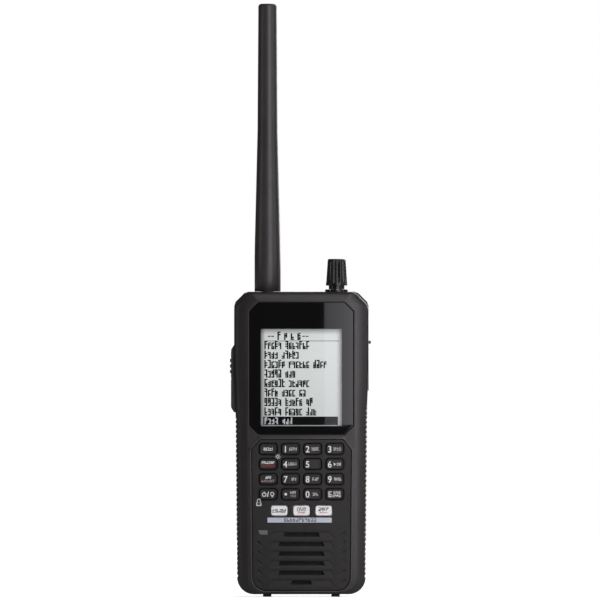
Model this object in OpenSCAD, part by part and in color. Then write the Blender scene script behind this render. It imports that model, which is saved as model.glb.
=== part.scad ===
// Hand-held radio scanner: two casings, display, keypad, side buttons, louvred speaker,
// screw-on whip antenna, volume knob, belt clip, battery door and a rubber port cover.
// +Z is up, the front faces -Y, and the origin is under the middle of the whole set.

/* [Casing] */
// Width of the casing across the display
body_w = 68; // [67:0.5:70]
// Height of the casing's top above the surface it stands on
body_top = 154.2; // [154:0.1:158]
// Depth of the casing from front to rear
body_d = 32; // [31:0.5:34]
// Height of the two feet under the casing
foot_h = 1.3; // [1:0.1:2]
// Thickness of the side and rear walls
wall = 2; // [1.8:0.1:2.2]
// Thickness of the front wall
front_wall = 2.2; // [2:0.1:2.4]
// Spacing of the grip ribs
rib_pitch = 2.47; // [2:0.01:3]
// Depth of the grooves between the grip ribs
rib_depth = 0.45; // [0.3:0.05:0.6]

/* [Display] */
// Width of the display lens
lens_w = 52.5; // [50:0.5:54]
// Height of the display lens
lens_h = 66.7; // [64:0.1:68]
// Height of the lens centre above the surface
lens_z = 115.45; // [115:0.05:116]
// Cut at the corners of the lens
lens_cut = 4.6; // [4:0.1:7]
// Width of the visible display
lcd_w = 41; // [38:0.5:44]
// Height of the visible display
lcd_h = 49.1; // [46:0.1:50]

/* [Keys] */
// Sideways spacing of the keys
key_pitch_x = 11.2; // [11:0.1:11.6]
// Upright spacing of the key rows
key_pitch_z = 7.6; // [7.4:0.1:7.8]
// Width of one dark key
key_w = 8.7; // [8.4:0.1:8.8]
// Height of one dark key
key_h = 5.3; // [5:0.1:5.4]
// Travel of every key
key_travel = 0.65; // [0.5:0.05:0.65]

/* [Antenna and knob] */
// Distance of the antenna from the middle of the casing
antenna_x = 17.1; // [16:0.1:18]
// Diameter of the antenna at its base
antenna_base_d = 13.2; // [12:0.1:13.5]
// Diameter of the antenna at its tip
antenna_tip_d = 9.4; // [8:0.1:10]
// Height of the antenna's tip above the surface
antenna_top = 300; // [260:1:330]
// Distance of the knob from the middle of the casing
knob_x = 17.9; // [17:0.1:19]
// Diameter of the knob at its skirt
knob_d = 11; // [10:0.1:11.4]
// Height of the knob's top above the surface
knob_top = 170.8; // [168:0.1:172]

/* [Battery] */
// Diameter of one cell
cell_d = 14.4; // [14.2:0.1:14.5]
// Length of one cell with its nub
cell_l = 50.4; // [50:0.1:50.5]

/* [Belt clip] */
// Distance that the clip stands behind the casing
clip_stand = 8; // [8:0.1:9]
// Width of the clip lever
clip_w = 20; // [18:1:22]
// Length of the clip lever
clip_l = 60; // [56:1:60]

/* [Hidden] */
$fn = 48;

// Depth planes, from the front face to the rear of the clip
front_y = -(body_d + clip_stand) / 2;
rear_y = front_y + body_d;
mid_y = front_y + body_d / 2;
clip_y = rear_y + clip_stand;
inner_y = front_y + front_wall;

half_w = body_w / 2;
inner_x = half_w - wall;

// Front outline of the casing
bottom_r = 8.5;
corner_cut = 7.2;
corner_ease = 2.1;
waist_z = 115;
grip_top_z = 98;
grip_top_w = half_w - 0.7;
grip_bottom_w = half_w - 1.5;
grip_bottom_z = 10.5;
rib_count = floor((grip_top_z - 4 - grip_bottom_z) / rib_pitch);

// Lower panel with the keys
row_z = [for (r = [0:3]) 74.7 - r * key_pitch_z];
col_x = [for (c = [0:3]) (c - 1.5) * key_pitch_x];
soft_z = 43.6;
soft_w = 8.3;
soft_h = 4.95;
key_gap = 0.32;
key_r = 1.8;
cap_y = front_y - 0.8;
flange_y = inner_y + 0.05;
flange_d = 0.7;
flange_lip = 0.8;
plunger_r = 1.5;
mat_y = flange_y + flange_d + key_travel + 0.2;
mat_d = 1;
dome_h = 0.5;
dome_r = 2.4;
dome_base = 0.3;
board_y = inner_y + 3.8;
plunger_end = board_y - dome_base - dome_h - key_travel - 0.1;
board_d = 1.2;
board_back = board_y + board_d;
KEY_NAMES = ["key_func", "key_1", "key_2", "key_3",
             "key_scan", "key_4", "key_5", "key_6",
             "key_hold", "key_7", "key_8", "key_9",
             "key_light", "key_dot", "key_0", "key_enter"];
SOFT_NAMES = ["soft_key_left", "soft_key_middle", "soft_key_right"];

// Lens, gasket and display stack
lens_gap = 0.15;
lens_d = 1.1;
gasket_d = 0.2;
ledge = 2.6;
lcd_d = 3;
lcd_z = 110.85;
lcd_frame_w = 48;
lcd_frame_h = 58;

// Speaker behind the louvres
speaker_z = 19.5;
speaker_r = 14;
louvre_pitch = 4.84;
louvre_top_z = 31.5;
louvre_h = 2;
louvre_slant = 0.9;
trough_d = 0.45;
stroke_d = 0.7;
TROUGH = [[-16.4, -2.1], [16.4, -2.1], [14.6, 1.35], [-14.6, 1.35]];
STROKE = [[19, -1.2], [20.3, -1.4], [22.4, 1.2], [21.8, 1.7]];

// Lower panel: half its width, its lower and upper edges, and the groove round it
panel_w = 25.3;
panel_z = [foot_h + 1.8, 79.7];
panel_r = 6.8;
panel_cut = [4, 5.3];
panel_groove_w = 0.4;
panel_groove_d = 0.35;
LOUVRE_W = [18.5, 23.4, 23.4, 23.4, 23.4, 10.9];

// Top fittings
// The connector's thread: 36 turns to the inch
thread_pitch = 25.4 / 36;
thread_depth = 0.25;
jack_r = 3.1;
jack_hole_r = 4.6;
jack_top = 161;
jack_bore_r = 2.08;
plug_r = 2;
plug_z = body_top + 0.1;
plug_top = 166;
whip_z = body_top + 0.1;
whip_straight_z = 174;
whip_taper_z = 236;
whip_taper_r = 5.1;
tip_round = 1.5;
shaft_r = 3;
encoder_half = 5.8;
bushing_r = 4.3;
shaft_z = 147;
shaft_top = 168;
knob_travel = 0.6;
neck_r = 4.05;
neck_z = body_top + knob_travel + 0.7;
skirt_z = 157.3;
knob_top_r = 4.7;
flutes = 14;
collar_h = 1.2;
collar_r = 5.9;
earphone_r = 1.8;
earphone_l = 14;
earphone_x = 0;

// Left button pod and right port
pod_z0 = 93.2;
pod_z1 = 127.4;
pod_y0 = front_y + 5;
pod_y1 = mid_y - 0.6;
pod_seat_x = -(half_w - 1.1);
pod_face_x = -(half_w + 1.5);
side_gap = 0.25;
side_travel = 0.6;
side_cap_x = -(half_w + 1.6);
side_base_x = pod_seat_x - side_travel - 0.2;
side_rib = 0.5;
stem_r = 1;
switch_x = -(half_w - 3.2);
stem_end_x = switch_x - side_travel - 0.2;
upper_z = [110.6, 123.9];
lower_z = [96.2, 109.4];
port_z0 = 104;
port_z1 = 129.6;
port_y0 = front_y + 5;
port_y1 = front_y + 14.2;
port_x = half_w - 1.4;
port_hinge_r = 0.7;
port_hinge_x = half_w - port_hinge_r;
port_hinge_y = port_y1 - 0.2 - port_hinge_r;
tab_z = [127.9, 129.4];
tab_out = 1.1;

// Battery bay and door
cells = 3;
bay_half = 24.2;
bay_wall = 1.2;
bay_front_y = mid_y - 2.9;
bay_z0 = 11.5;
bay_z1 = 65;
cell_z = 13;
cell_y = mid_y + 5;
door_half = 24;
door_gap = 0.3;
door_top = 70;
hinge_r = 2.4;
hinge_y = rear_y - hinge_r;
hinge_z = 10;
hinge_pin_r = 1.2;
hinge_play = 0.05;
lug_x = 27;

// Belt clip
pivot_y = rear_y + 3.6;
pivot_z = 121;
pivot_r = 1;
pivot_play = 0.05;
clip_t = 2.1;
clip_top = 138;
ear_in = 6;
ear_out = 7.7;
post_in = 8;
post_out = 9.5;
ear_r = 2.4;
post_r = 2.1;
spring_r = 1.9;
spring_wire = 0.38;
spring_turns = 6;

// Screws: x, z of each long screw through the rear casing
SCREW_AT = [[-27, 147], [27, 147], [-27.5, 76], [27.5, 76]];
CLIP_SCREW_Z = [115.5, 127];
boss_r = 3;
shank_r = 1;
shank_play = 0.3;
head_r = 2.3;
head_h = 1.2;

// ---- helpers ----

// Extrudes an outline drawn in X and Z along Y
module along_y(y0, y1) {
    translate([0, y1, 0]) rotate([90, 0, 0]) linear_extrude(height = y1 - y0) children();
}

// Extrudes an outline drawn in Y and Z along X
module along_x(x0, x1) {
    translate([x0, 0, 0]) rotate([90, 0, 90]) linear_extrude(height = x1 - x0) children();
}

module block(x, y, z) {
    translate([x[0], y[0], z[0]]) cube([x[1] - x[0], y[1] - y[0], z[1] - z[0]]);
}

// Cylinder along Y between two depths
module pin_y(x, z, y0, y1, r) {
    translate([x, y0, z]) rotate([-90, 0, 0]) cylinder(h = y1 - y0, r = r);
}

// Cylinder along X
module pin_x(x0, x1, y, z, r) {
    translate([x0, y, z]) rotate([0, 90, 0]) cylinder(h = x1 - x0, r = r);
}

module tube_z(x, y, z0, z1, r_out, r_in) {
    difference() {
        translate([x, y, z0]) cylinder(h = z1 - z0, r = r_out);
        translate([x, y, z0 - 1]) cylinder(h = z1 - z0 + 2, r = r_in);
    }
}

function arc(cx, cz, r, a0, a1, n) =
    [for (i = [0:n]) let (a = a0 + (a1 - a0) * i / n) [cx + r * cos(a), cz + r * sin(a)]];

// Rectangle with round corners, centred on its own origin
function round_rect(w, h, r, n = 4) = concat(
    arc(w / 2 - r, h / 2 - r, r, 0, 90, n),
    arc(-w / 2 + r, h / 2 - r, r, 90, 180, n),
    arc(-w / 2 + r, -h / 2 + r, r, 180, 270, n),
    arc(w / 2 - r, -h / 2 + r, r, 270, 360, n));

// Rectangle with cut corners
function cut_rect(w, h, c) = [
    [w / 2, h / 2 - c], [w / 2 - c, h / 2], [-w / 2 + c, h / 2], [-w / 2, h / 2 - c],
    [-w / 2, -h / 2 + c], [-w / 2 + c, -h / 2], [w / 2 - c, -h / 2], [w / 2, -h / 2 + c]];

// Half the casing's width at the rib tips
function grip_w(z) = grip_bottom_w
    + (grip_top_w - grip_bottom_w) * (z - grip_bottom_z) / (grip_top_z - grip_bottom_z);

// Outline of the lower panel: round at the bottom, cut at the top
function panel_outline(inset) = let (r = panel_r - inset, half = [concat(
    arc(panel_w - panel_r, panel_z[0] + panel_r, r, -90, 0, 6),
    [[panel_w - inset, panel_z[1] - panel_cut[1] - inset * 0.3],
     [panel_w - panel_cut[0] - inset * 0.5, panel_z[1] - inset]])]) concat(half[0], mirror_points(half[0]));

function mirror_points(p) = [for (i = [len(p) - 1:-1:0]) [-p[i][0], p[i][1]]];

// One grip rib: a groove, then a tip, going up
function rib_points(z) = [
    [grip_w(z) - rib_depth, z],
    [grip_w(z) - rib_depth, z + rib_pitch * 0.25],
    [grip_w(z), z + rib_pitch * 0.4],
    [grip_w(z), z + rib_pitch * 0.85]];

// Right half of the casing seen from the front, from the bottom up
function right_side(inset, ribbed) = concat(
    arc(grip_bottom_w - bottom_r, foot_h + bottom_r, bottom_r - inset, -90, -8, 6),
    ribbed ? [for (i = [0:rib_count - 1]) each rib_points(grip_bottom_z + i * rib_pitch)] : [],
    [[grip_top_w - inset, grip_top_z],
     [half_w - inset, waist_z],
     [half_w - inset, body_top - corner_cut],
     [half_w - corner_ease / 3 - inset, body_top - corner_cut + corner_ease],
     [half_w - corner_cut + corner_ease - inset * 0.4, body_top - corner_ease / 3 - inset],
     [half_w - corner_cut - inset * 0.4, body_top - inset]]);

function front_outline(inset, ribbed) = concat(
    right_side(inset, ribbed), mirror_points(right_side(inset, ribbed)));

// Casing seen from above: a sloping shoulder at each front edge, round rear corners
function plan_side(inset, front) = concat(
    [[26.8 - inset * 0.5, front_y + front],
     [31.4 - inset * 0.7, front_y + 1.15 + front * 0.9],
     [33.2 - inset, front_y + 2.1 + front * 0.6],
     [half_w + 0.2 - inset, front_y + 3.8 + front * 0.3]],
    arc(half_w + 0.2 - 5, rear_y - 5, 5 - inset, 0, 90, 6));

function plan_outline(inset, front) = concat(plan_side(inset, front), mirror_points(plan_side(inset, front)));

// Casing seen from the side
function side_outline(inset, front) = concat(
    arc(front_y + 3, foot_h + 3, max(3 - front, 0.5), 180, 270, 4),
    arc(rear_y - 5, foot_h + 5, 5 - inset, 270, 360, 5),
    [[rear_y - inset, body_top - 4], [rear_y - 4 + inset * 0.6, body_top - inset],
     [front_y + 3.1 + inset * 0.5, body_top - inset],
     [front_y + 1.3 + front * 0.9, body_top - 1.9 - inset * 0.7],
     [front_y + front, body_top - 5.3 - inset * 0.5]]);

// Solid casing block, drawn in by inset at the walls and by front at the front face
module casing(inset, front, ribbed) {
    intersection() {
        along_y(front_y - 1, rear_y + 1) polygon(front_outline(inset, ribbed));
        translate([0, 0, -1]) linear_extrude(height = body_top + 2) polygon(plan_outline(inset, front));
        along_x(-half_w - 2, half_w + 2) polygon(side_outline(inset, front));
    }
}

module half_space(front_half) {
    block([-half_w - 3, half_w + 3],
          front_half ? [front_y - 2, mid_y] : [mid_y, rear_y + 2],
          [-2, body_top + 2]);
}

// ---- casings ----

// One louvre: an opening with slanted ends, wider at its lower edge
function louvre(w) = [
    [-w / 2, -louvre_h / 2], [w / 2, -louvre_h / 2],
    [w / 2 - louvre_slant, louvre_h / 2], [-w / 2 + louvre_slant, louvre_h / 2]];

// Groove round the lower panel
module panel_groove() {
    along_y(front_y - 1, front_y + panel_groove_d) difference() {
        polygon(panel_outline(0));
        polygon(panel_outline(panel_groove_w));
    }
}

module louvres() {
    for (i = [0:5]) {
        along_y(front_y - 1, inner_y + 1)
            translate([0, louvre_top_z - i * louvre_pitch]) polygon(louvre(LOUVRE_W[i]));
    }
}

// Shallow trough round each louvre, deepest at its upper edge, and a slanted stroke past each end
module louvre_troughs() {
    for (i = [0:5]) {
        z = louvre_top_z - i * louvre_pitch;
        intersection() {
            along_y(front_y - 1, inner_y) translate([0, z]) polygon(TROUGH);
            along_x(-half_w, half_w) translate([0, z]) polygon(trough_side(TROUGH[0][1], TROUGH[2][1], trough_d));
        }
        for (side = [0, 1]) {
            mirror([side, 0, 0]) intersection() {
                along_y(front_y - 1, inner_y) translate([0, z]) polygon(STROKE);
                along_x(0, half_w) translate([0, z]) polygon(trough_side(STROKE[1][1], STROKE[3][1], stroke_d));
            }
        }
    }
}

// Wedge seen from the side: flush with the front at its lower edge z0, d deep at its upper edge z1
function trough_side(z0, z1, d) = [[front_y - 1, z0], [front_y, z0], [front_y + d, z1], [front_y - 1, z1]];

module key_holes() {
    for (r = [0:3], c = [0:3]) {
        along_y(front_y - 1, inner_y + 1) translate([col_x[c], row_z[r]])
            polygon(round_rect(key_w + 2 * key_gap, key_h + 2 * key_gap, key_r));
    }
    for (c = [0:2]) {
        along_y(front_y - 1, inner_y + 1) translate([(c - 1) * key_pitch_x, soft_z])
            polygon(round_rect(soft_w + 2 * key_gap, soft_h + 2 * key_gap, 1.3));
    }
}

module lens_opening() {
    along_y(front_y - 1, front_y + lens_d + gasket_d) translate([0, lens_z])
        polygon(cut_rect(lens_w + 2 * lens_gap, lens_h + 2 * lens_gap, lens_cut));
    along_y(front_y, inner_y + 1) translate([0, lens_z - 2])
        polygon(round_rect(lens_w - 2 * ledge, lens_h - 2 * ledge - 6, 1));
}

module pod_pocket() {
    block([-half_w - 2, pod_seat_x], [pod_y0 - 0.1, pod_y1 + 0.1], [pod_z0 - 0.1, pod_z1 + 0.1]);
    for (z = [(upper_z[0] + upper_z[1]) / 2, (lower_z[0] + lower_z[1]) / 2]) {
        pin_x(pod_seat_x - 1, -inner_x + 4, (pod_y0 + pod_y1) / 2, z, stem_r + 0.4);
    }
}

module port_opening() {
    block([inner_x - 3, half_w + 2], [port_y0, port_y1], [port_z0, port_z1]);
}

module front_bosses() {
    for (p = SCREW_AT) {
        difference() {
            pin_y(p[0], p[1], inner_y, mid_y, boss_r);
            pin_y(p[0], p[1], inner_y + 6, mid_y + 1, shank_r);
        }
    }
}

module front_case() {
    color("#3a3a3d") {
        difference() {
            intersection() {
                casing(0, 0, true);
                half_space(true);
            }
            casing(wall, front_wall, false);
            lens_opening();
            key_holes();
            louvres();
            louvre_troughs();
            panel_groove();
            pod_pocket();
            port_opening();
            top_holes();
        }
        front_bosses();
    }
}

// Holes through the top wall for the antenna jack, the encoder bushing and the earphone jack
module top_holes() {
    translate([-antenna_x, mid_y, body_top - wall - 2]) cylinder(h = wall + 4, r = jack_hole_r);
    translate([knob_x, mid_y, body_top - wall - 2]) cylinder(h = wall + 4, r = 4.4);
    translate([earphone_x, mid_y, body_top - wall - 2]) cylinder(h = wall + 4, r = 3.6);
}

module rear_bosses() {
    for (p = SCREW_AT) {
        pin_y(p[0], p[1], mid_y, rear_y - wall, boss_r);
    }
}

module screw_passages() {
    for (p = SCREW_AT) {
        pin_y(p[0], p[1], mid_y - 1, rear_y, shank_r + shank_play);
        pin_y(p[0], p[1], rear_y - head_h - 0.1, rear_y + 1, head_r + 0.2);
    }
}

// Battery bay moulded into the rear casing
module battery_bay() {
    block([-bay_half - bay_wall, bay_half + bay_wall], [bay_front_y - bay_wall, bay_front_y],
          [bay_z0 - bay_wall, bay_z1 + bay_wall]);
    block([-bay_half, bay_half], [bay_front_y, hinge_y - hinge_r - 0.4], [bay_z0 - bay_wall, bay_z0]);
    block([-bay_half, bay_half], [bay_front_y, rear_y - wall], [bay_z1, bay_z1 + bay_wall]);
    for (side = [0, 1]) {
        mirror([side, 0, 0]) {
            block([bay_half, bay_half + bay_wall], [bay_front_y, rear_y - wall],
                  [hinge_z - hinge_r - door_gap, bay_z1 + bay_wall]);
            block([bay_half, lug_x], [hinge_y - 3, rear_y - wall],
                  [hinge_z - hinge_r - door_gap, hinge_z + 3]);
        }
    }
}

module strap_lug() {
    difference() {
        block([-24, -20], [rear_y, rear_y + 5], [141, 148]);
        pin_x(-25, -19, rear_y + 2.4, 144.5, 1.6);
    }
}

module rear_case() {
    color("#333336") difference() {
        union() {
            difference() {
                intersection() {
                    casing(0, 0, true);
                    half_space(false);
                }
                casing(wall, front_wall, false);
                block([-bay_half, bay_half], [rear_y - wall - 1, rear_y + 1],
                      [hinge_z - hinge_r - door_gap, door_top + door_gap]);
                top_holes();
            }
            rear_bosses();
            battery_bay();
            strap_lug();
        }
        screw_passages();
        for (z = CLIP_SCREW_Z) {
            pin_y(0, z, rear_y - wall - 1, rear_y + 1, shank_r);
        }
        pin_x(-lug_x - 1, lug_x + 1, hinge_y, hinge_z, hinge_pin_r + hinge_play);
    }
}

module base_feet() {
    color("#2b2b2d") for (x = [-17.3, 17.3]) {
        block([x - 2.1, x + 2.1], [mid_y - 10, mid_y + 10], [0, foot_h]);
    }
}

// ---- display ----

module display_lens() {
    color("#101014") along_y(front_y, front_y + lens_d) translate([0, lens_z])
        polygon(cut_rect(lens_w, lens_h, lens_cut));
}

module lens_gasket() {
    color("#1c1c1e") along_y(front_y + lens_d, front_y + lens_d + gasket_d) translate([0, lens_z])
        difference() {
            polygon(cut_rect(lens_w - 0.6, lens_h - 0.6, lens_cut));
            translate([0, -2]) polygon(round_rect(lens_w - 2 * ledge, lens_h - 2 * ledge - 6, 3));
        }
}

module lcd_panel() {
    color("#b9bdb6") along_y(inner_y + 0.1, inner_y + 0.1 + lcd_d) translate([0, lcd_z])
        polygon(round_rect(lcd_w + 3, lcd_h + 5, 0.5));
}

module lcd_holder() {
    color("#d8d8d4") along_y(inner_y, board_y) translate([0, lcd_z]) difference() {
        polygon(round_rect(lcd_frame_w, lcd_frame_h, 1));
        polygon(round_rect(lcd_w + 3.2, lcd_h + 5.2, 0.5));
    }
}

// ---- keypad ----

module key_cap(x, z, w, h, r) {
    along_y(cap_y, flange_y) translate([x, z]) polygon(round_rect(w, h, r));
    along_y(flange_y, flange_y + flange_d) translate([x, z])
        polygon(round_rect(w + 2 * flange_lip, h + 2 * flange_lip, r));
    pin_y(x, z, flange_y + flange_d, plunger_end, plunger_r);
}

module dark_key(r, c) {
    color("#2c2c30") key_cap(col_x[c], row_z[r], key_w, key_h, key_r - key_gap);
}

module soft_key(c) {
    color("#e6e6e4") key_cap((c - 1) * key_pitch_x, soft_z, soft_w, soft_h, 1.2);
}

// The places of all the keys: x, z
function key_places() = concat(
    [for (r = [0:3], c = [0:3]) [col_x[c], row_z[r]]],
    [for (c = [0:2]) [(c - 1) * key_pitch_x, soft_z]]);

module keypad_mat() {
    color("#55565a") difference() {
        along_y(mat_y, mat_y + mat_d) translate([0, 59.8]) polygon(round_rect(47, 41, 2));
        for (p = key_places()) {
            pin_y(p[0], p[1], mat_y - 1, mat_y + mat_d + 1, plunger_r + 0.7);
        }
    }
}

module dome_sheet() {
    color("#c9b98a") {
        block([-23, 23], [board_y - dome_base, board_y], [40, 79.5]);
        for (p = key_places()) {
            pin_y(p[0], p[1], board_y - dome_base - dome_h, board_y - dome_base, dome_r);
        }
    }
}

// ---- electronics ----

module main_board() {
    color("#1e5a38") along_y(board_y, board_back) polygon([
        [-24, 36], [24, 36], [24, 103], [inner_x - 0.6, 103], [inner_x - 0.6, 130], [24, 130], [24, 142],
        [22, 144], [-22, 144], [-24, 142], [-24, 128], [-28.2, 128], [-28.2, 94], [-24, 94]]);
}

module board_chips() {
    color("#222224") {
        block([-12, 2], [board_back, board_back + 1.4], [72, 86]);
        block([6, 14], [board_back, board_back + 1.2], [76, 84]);
        block([-20, -12], [board_back, board_back + 1.8], [106, 118]);
        block([-6, 6], [board_back, board_back + 1.6], [92, 98]);
    }
}

module rf_shield() {
    color("#c4c6c8") difference() {
        block([-19, 8], [board_back, board_back + 3], [120, 138]);
        block([-18.6, 7.6], [board_back - 1, board_back + 2.6], [120.4, 137.6]);
    }
}

module speaker_basket() {
    color("#8a8c90") translate([0, inner_y, speaker_z]) rotate([-90, 0, 0]) rotate_extrude($fn = 64)
        polygon([[speaker_r - 1, 0.2], [speaker_r, 0.2], [speaker_r, 1.2], [speaker_r - 1.6, 2],
                 [9, 5], [5.2, 5], [5.2, 4.6], [8.7, 4.6], [speaker_r - 2.2, 1.4], [speaker_r - 1, 1.2]]);
}

module speaker_cone() {
    color("#2a2a2c") translate([0, inner_y, speaker_z]) rotate([-90, 0, 0]) rotate_extrude($fn = 64)
        polygon([[0, 1.6], [3.4, 2.4], [4.4, 3.1], [speaker_r - 2.6, 0.9], [speaker_r - 1.2, 0.5],
                 [speaker_r - 1.2, 0.8], [speaker_r - 2.5, 1.15], [4.4, 3.5], [3.2, 2.8], [0, 2]]);
}

module speaker_magnet() {
    color("#6f7276") {
        pin_y(0, speaker_z, inner_y + 5, inner_y + 8, 7.5);
        pin_y(0, speaker_z, inner_y + 4.2, inner_y + 5, 4.8);
    }
}

// ---- top fittings ----

module antenna_jack() {
    turns = floor((jack_top - body_top - 1) / thread_pitch);
    color("#c9a24a") {
        translate([-antenna_x, mid_y, 0]) rotate_extrude() polygon(concat(
            [[jack_bore_r, body_top - wall - 2], [jack_r, body_top - wall - 2]],
            [for (i = [0:turns - 1]) each [
                [jack_r, body_top + 0.5 + i * thread_pitch],
                [jack_r - thread_depth, body_top + 0.5 + (i + 0.5) * thread_pitch]]],
            [[jack_r, body_top + 0.5 + turns * thread_pitch], [jack_r, jack_top - 0.3],
             [jack_r - 0.3, jack_top], [jack_bore_r, jack_top]]));
        tube_z(-antenna_x, mid_y, body_top - wall, body_top, jack_hole_r - 0.05, jack_r);
        tube_z(-antenna_x, mid_y, body_top - wall - 2, body_top - wall, 5.6, jack_r);
    }
}

module antenna_plug() {
    color("#d8d0b8") {
        translate([-antenna_x, mid_y, plug_z]) cylinder(h = plug_top - plug_z, r = plug_r);
    }
}

module antenna_whip() {
    color("#29292b") translate([-antenna_x, mid_y, 0]) difference() {
        rotate_extrude($fn = 64) polygon(concat(
            [[0, whip_z], [antenna_base_d / 2, whip_z], [antenna_base_d / 2, whip_straight_z],
             [whip_taper_r, whip_taper_z], [antenna_tip_d / 2, antenna_top - tip_round]],
            arc(antenna_tip_d / 2 - tip_round, antenna_top - tip_round, tip_round, 15, 90, 5),
            [[0, antenna_top]]));
        translate([0, 0, whip_z - 1]) cylinder(h = jack_top - whip_z + 1.5, r = jack_r + 0.1);
        translate([0, 0, jack_top]) cylinder(h = plug_top - jack_top + 0.2, r = plug_r + 0.08);
    }
}

module encoder_body() {
    color("#9fa1a4") difference() {
        union() {
            block([knob_x - encoder_half, knob_x + encoder_half],
                  [mid_y - encoder_half, mid_y + encoder_half], [138, 150]);
            translate([knob_x, mid_y, 150]) cylinder(h = body_top - 150, r = bushing_r);
        }
        translate([knob_x, mid_y, shaft_z - 1]) cylinder(h = 12, r = shaft_r + 0.06);
        translate([knob_x, mid_y, 139.5]) cylinder(h = 10, r = 1.26);
    }
}

module encoder_plunger() {
    color("#e0e0e0") translate([knob_x, mid_y, 140.6]) cylinder(h = shaft_z - 0.05 - 140.6, r = 1.2);
}

module knob_shaft() {
    color("#b8babd") translate([knob_x, mid_y, shaft_z]) cylinder(h = shaft_top - shaft_z, r = shaft_r);
}

module volume_knob() {
    tilt = atan((knob_d / 2 - knob_top_r) / (knob_top - skirt_z));
    color("#151517") translate([knob_x, mid_y, 0]) difference() {
        rotate_extrude($fn = 64) polygon([
            [0, neck_z], [neck_r, neck_z], [neck_r, skirt_z], [knob_d / 2, skirt_z],
            [knob_d / 2, skirt_z + 0.8], [knob_top_r + 0.25, knob_top - 0.6], [knob_top_r - 0.4, knob_top],
            [0, knob_top]]);
        translate([0, 0, neck_z - 1]) cylinder(h = shaft_top - neck_z + 1.02, r = shaft_r);
        for (i = [0:flutes - 1]) {
            rotate([0, 0, (i + 0.5) * 360 / flutes]) translate([knob_d / 2 + 0.15, 0, skirt_z + 1.2])
                rotate([0, -tilt, 0]) cylinder(h = knob_top - skirt_z, r = 0.62, $fn = 16);
        }
    }
}

module knob_collar() {
    color("#202022") tube_z(knob_x, mid_y, body_top, body_top + collar_h, collar_r, 4.4);
}

module earphone_jack() {
    color("#3c3c40") {
        tube_z(earphone_x, mid_y, body_top - earphone_l, body_top, 3.5, earphone_r);
    }
}

// ---- right side port ----

module usb_socket() {
    color("#c7c9cb") difference() {
        block([24.2, inner_x - 0.6], [board_back, board_back + 3.6], [119, 127]);
        block([25, inner_x], [board_back + 0.5, board_back + 3.1], [119.5, 126.5]);
    }
}

module card_socket() {
    color("#b4b6b9") difference() {
        block([16.4, inner_x - 0.6], [board_back, board_back + 1.9], [105, 117.6]);
        block([17, inner_x], [board_back + 0.5, board_back + 1.4], [105.6, 117]);
    }
}

module memory_card() {
    color("#18181a") block([17.2, inner_x - 0.3], [board_back + 0.55, board_back + 1.35], [105.8, 116.8]);
}

// Rubber flap with a round root that it folds about, and a finger tab
module port_cover() {
    color("#2a2a2c") {
        block([port_x, half_w], [port_y0 + 0.2, port_hinge_y], [port_z0 + 0.2, port_z1 - 0.2]);
        translate([port_hinge_x, port_hinge_y, port_z0 + 0.2])
            cylinder(h = port_z1 - port_z0 - 0.4, r = port_hinge_r);
        block([half_w, half_w + tab_out], [port_y0 + 1.2, port_y0 + 5.4], tab_z);
    }
}

// ---- left side buttons ----

// Outline of a side part seen from the left, with slanted ends
function pod_outline(z0, z1, y0, y1, slant) = [
    [y0 + slant, z0], [y1, z0 + slant], [y1, z1 - slant], [y0 + slant, z1], [y0, z1 - slant], [y0, z0 + slant]];

module side_opening(zr) {
    along_x(pod_face_x - 1, pod_seat_x + 1)
        polygon(pod_outline(zr[0] - side_gap, zr[1] + side_gap, pod_y0 + 1.2, pod_y1 - 1.2, 1));
}

module side_bezel() {
    color("#2f2f32") difference() {
        intersection() {
            along_x(pod_face_x, pod_seat_x)
                polygon(pod_outline(pod_z0, pod_z1, pod_y0, pod_y1, 1.6));
            along_y(pod_y0 - 1, pod_y1 + 1) polygon([
                [pod_seat_x, pod_z0], [-half_w, pod_z0], [pod_face_x, pod_z0 + 2.4],
                [pod_face_x, pod_z1 - 2.4], [-half_w, pod_z1], [pod_seat_x, pod_z1]]);
        }
        side_opening(upper_z);
        side_opening(lower_z);
    }
}

module side_button(zr, out) {
    difference() {
        along_x(side_cap_x - out, side_base_x)
            polygon(pod_outline(zr[0], zr[1], pod_y0 + 1.2 + side_gap, pod_y1 - 1.2 - side_gap, 1));
        children();
    }
    pin_x(side_base_x, stem_end_x, (pod_y0 + pod_y1) / 2, (zr[0] + zr[1]) / 2, stem_r);
}

module function_button() {
    color("#3b3b3e") side_button(upper_z, side_rib)
        for (z = [[upper_z[0] - 1, 113], [114.6, 115.8], [117.4, 118.6], [120.2, upper_z[1] + 1]]) {
            block([side_cap_x - 1, side_cap_x], [pod_y0, pod_y1], z);
        }
}

module menu_button() {
    color("#353538") side_button(lower_z, 0);
}

module side_switches() {
    color("#d0d0cc") {
        block([switch_x + 1.2, switch_x + 2.4], [board_back, pod_y1], [94, 126]);
        for (z = [(upper_z[0] + upper_z[1]) / 2, (lower_z[0] + lower_z[1]) / 2]) {
            block([switch_x, switch_x + 1.2], [(pod_y0 + pod_y1) / 2 - 2, (pod_y0 + pod_y1) / 2 + 2], [z - 2, z + 2]);
        }
    }
}

// ---- battery ----

module battery_cells() {
    color("#8f9296") for (i = [0:cells - 1]) {
        translate([(i - (cells - 1) / 2) * (cell_d + 0.5), cell_y, cell_z]) {
            cylinder(h = cell_l - 1.2, r = cell_d / 2);
            translate([0, 0, cell_l - 1.2]) cylinder(h = 1.2, r = 2.6);
        }
    }
}

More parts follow.
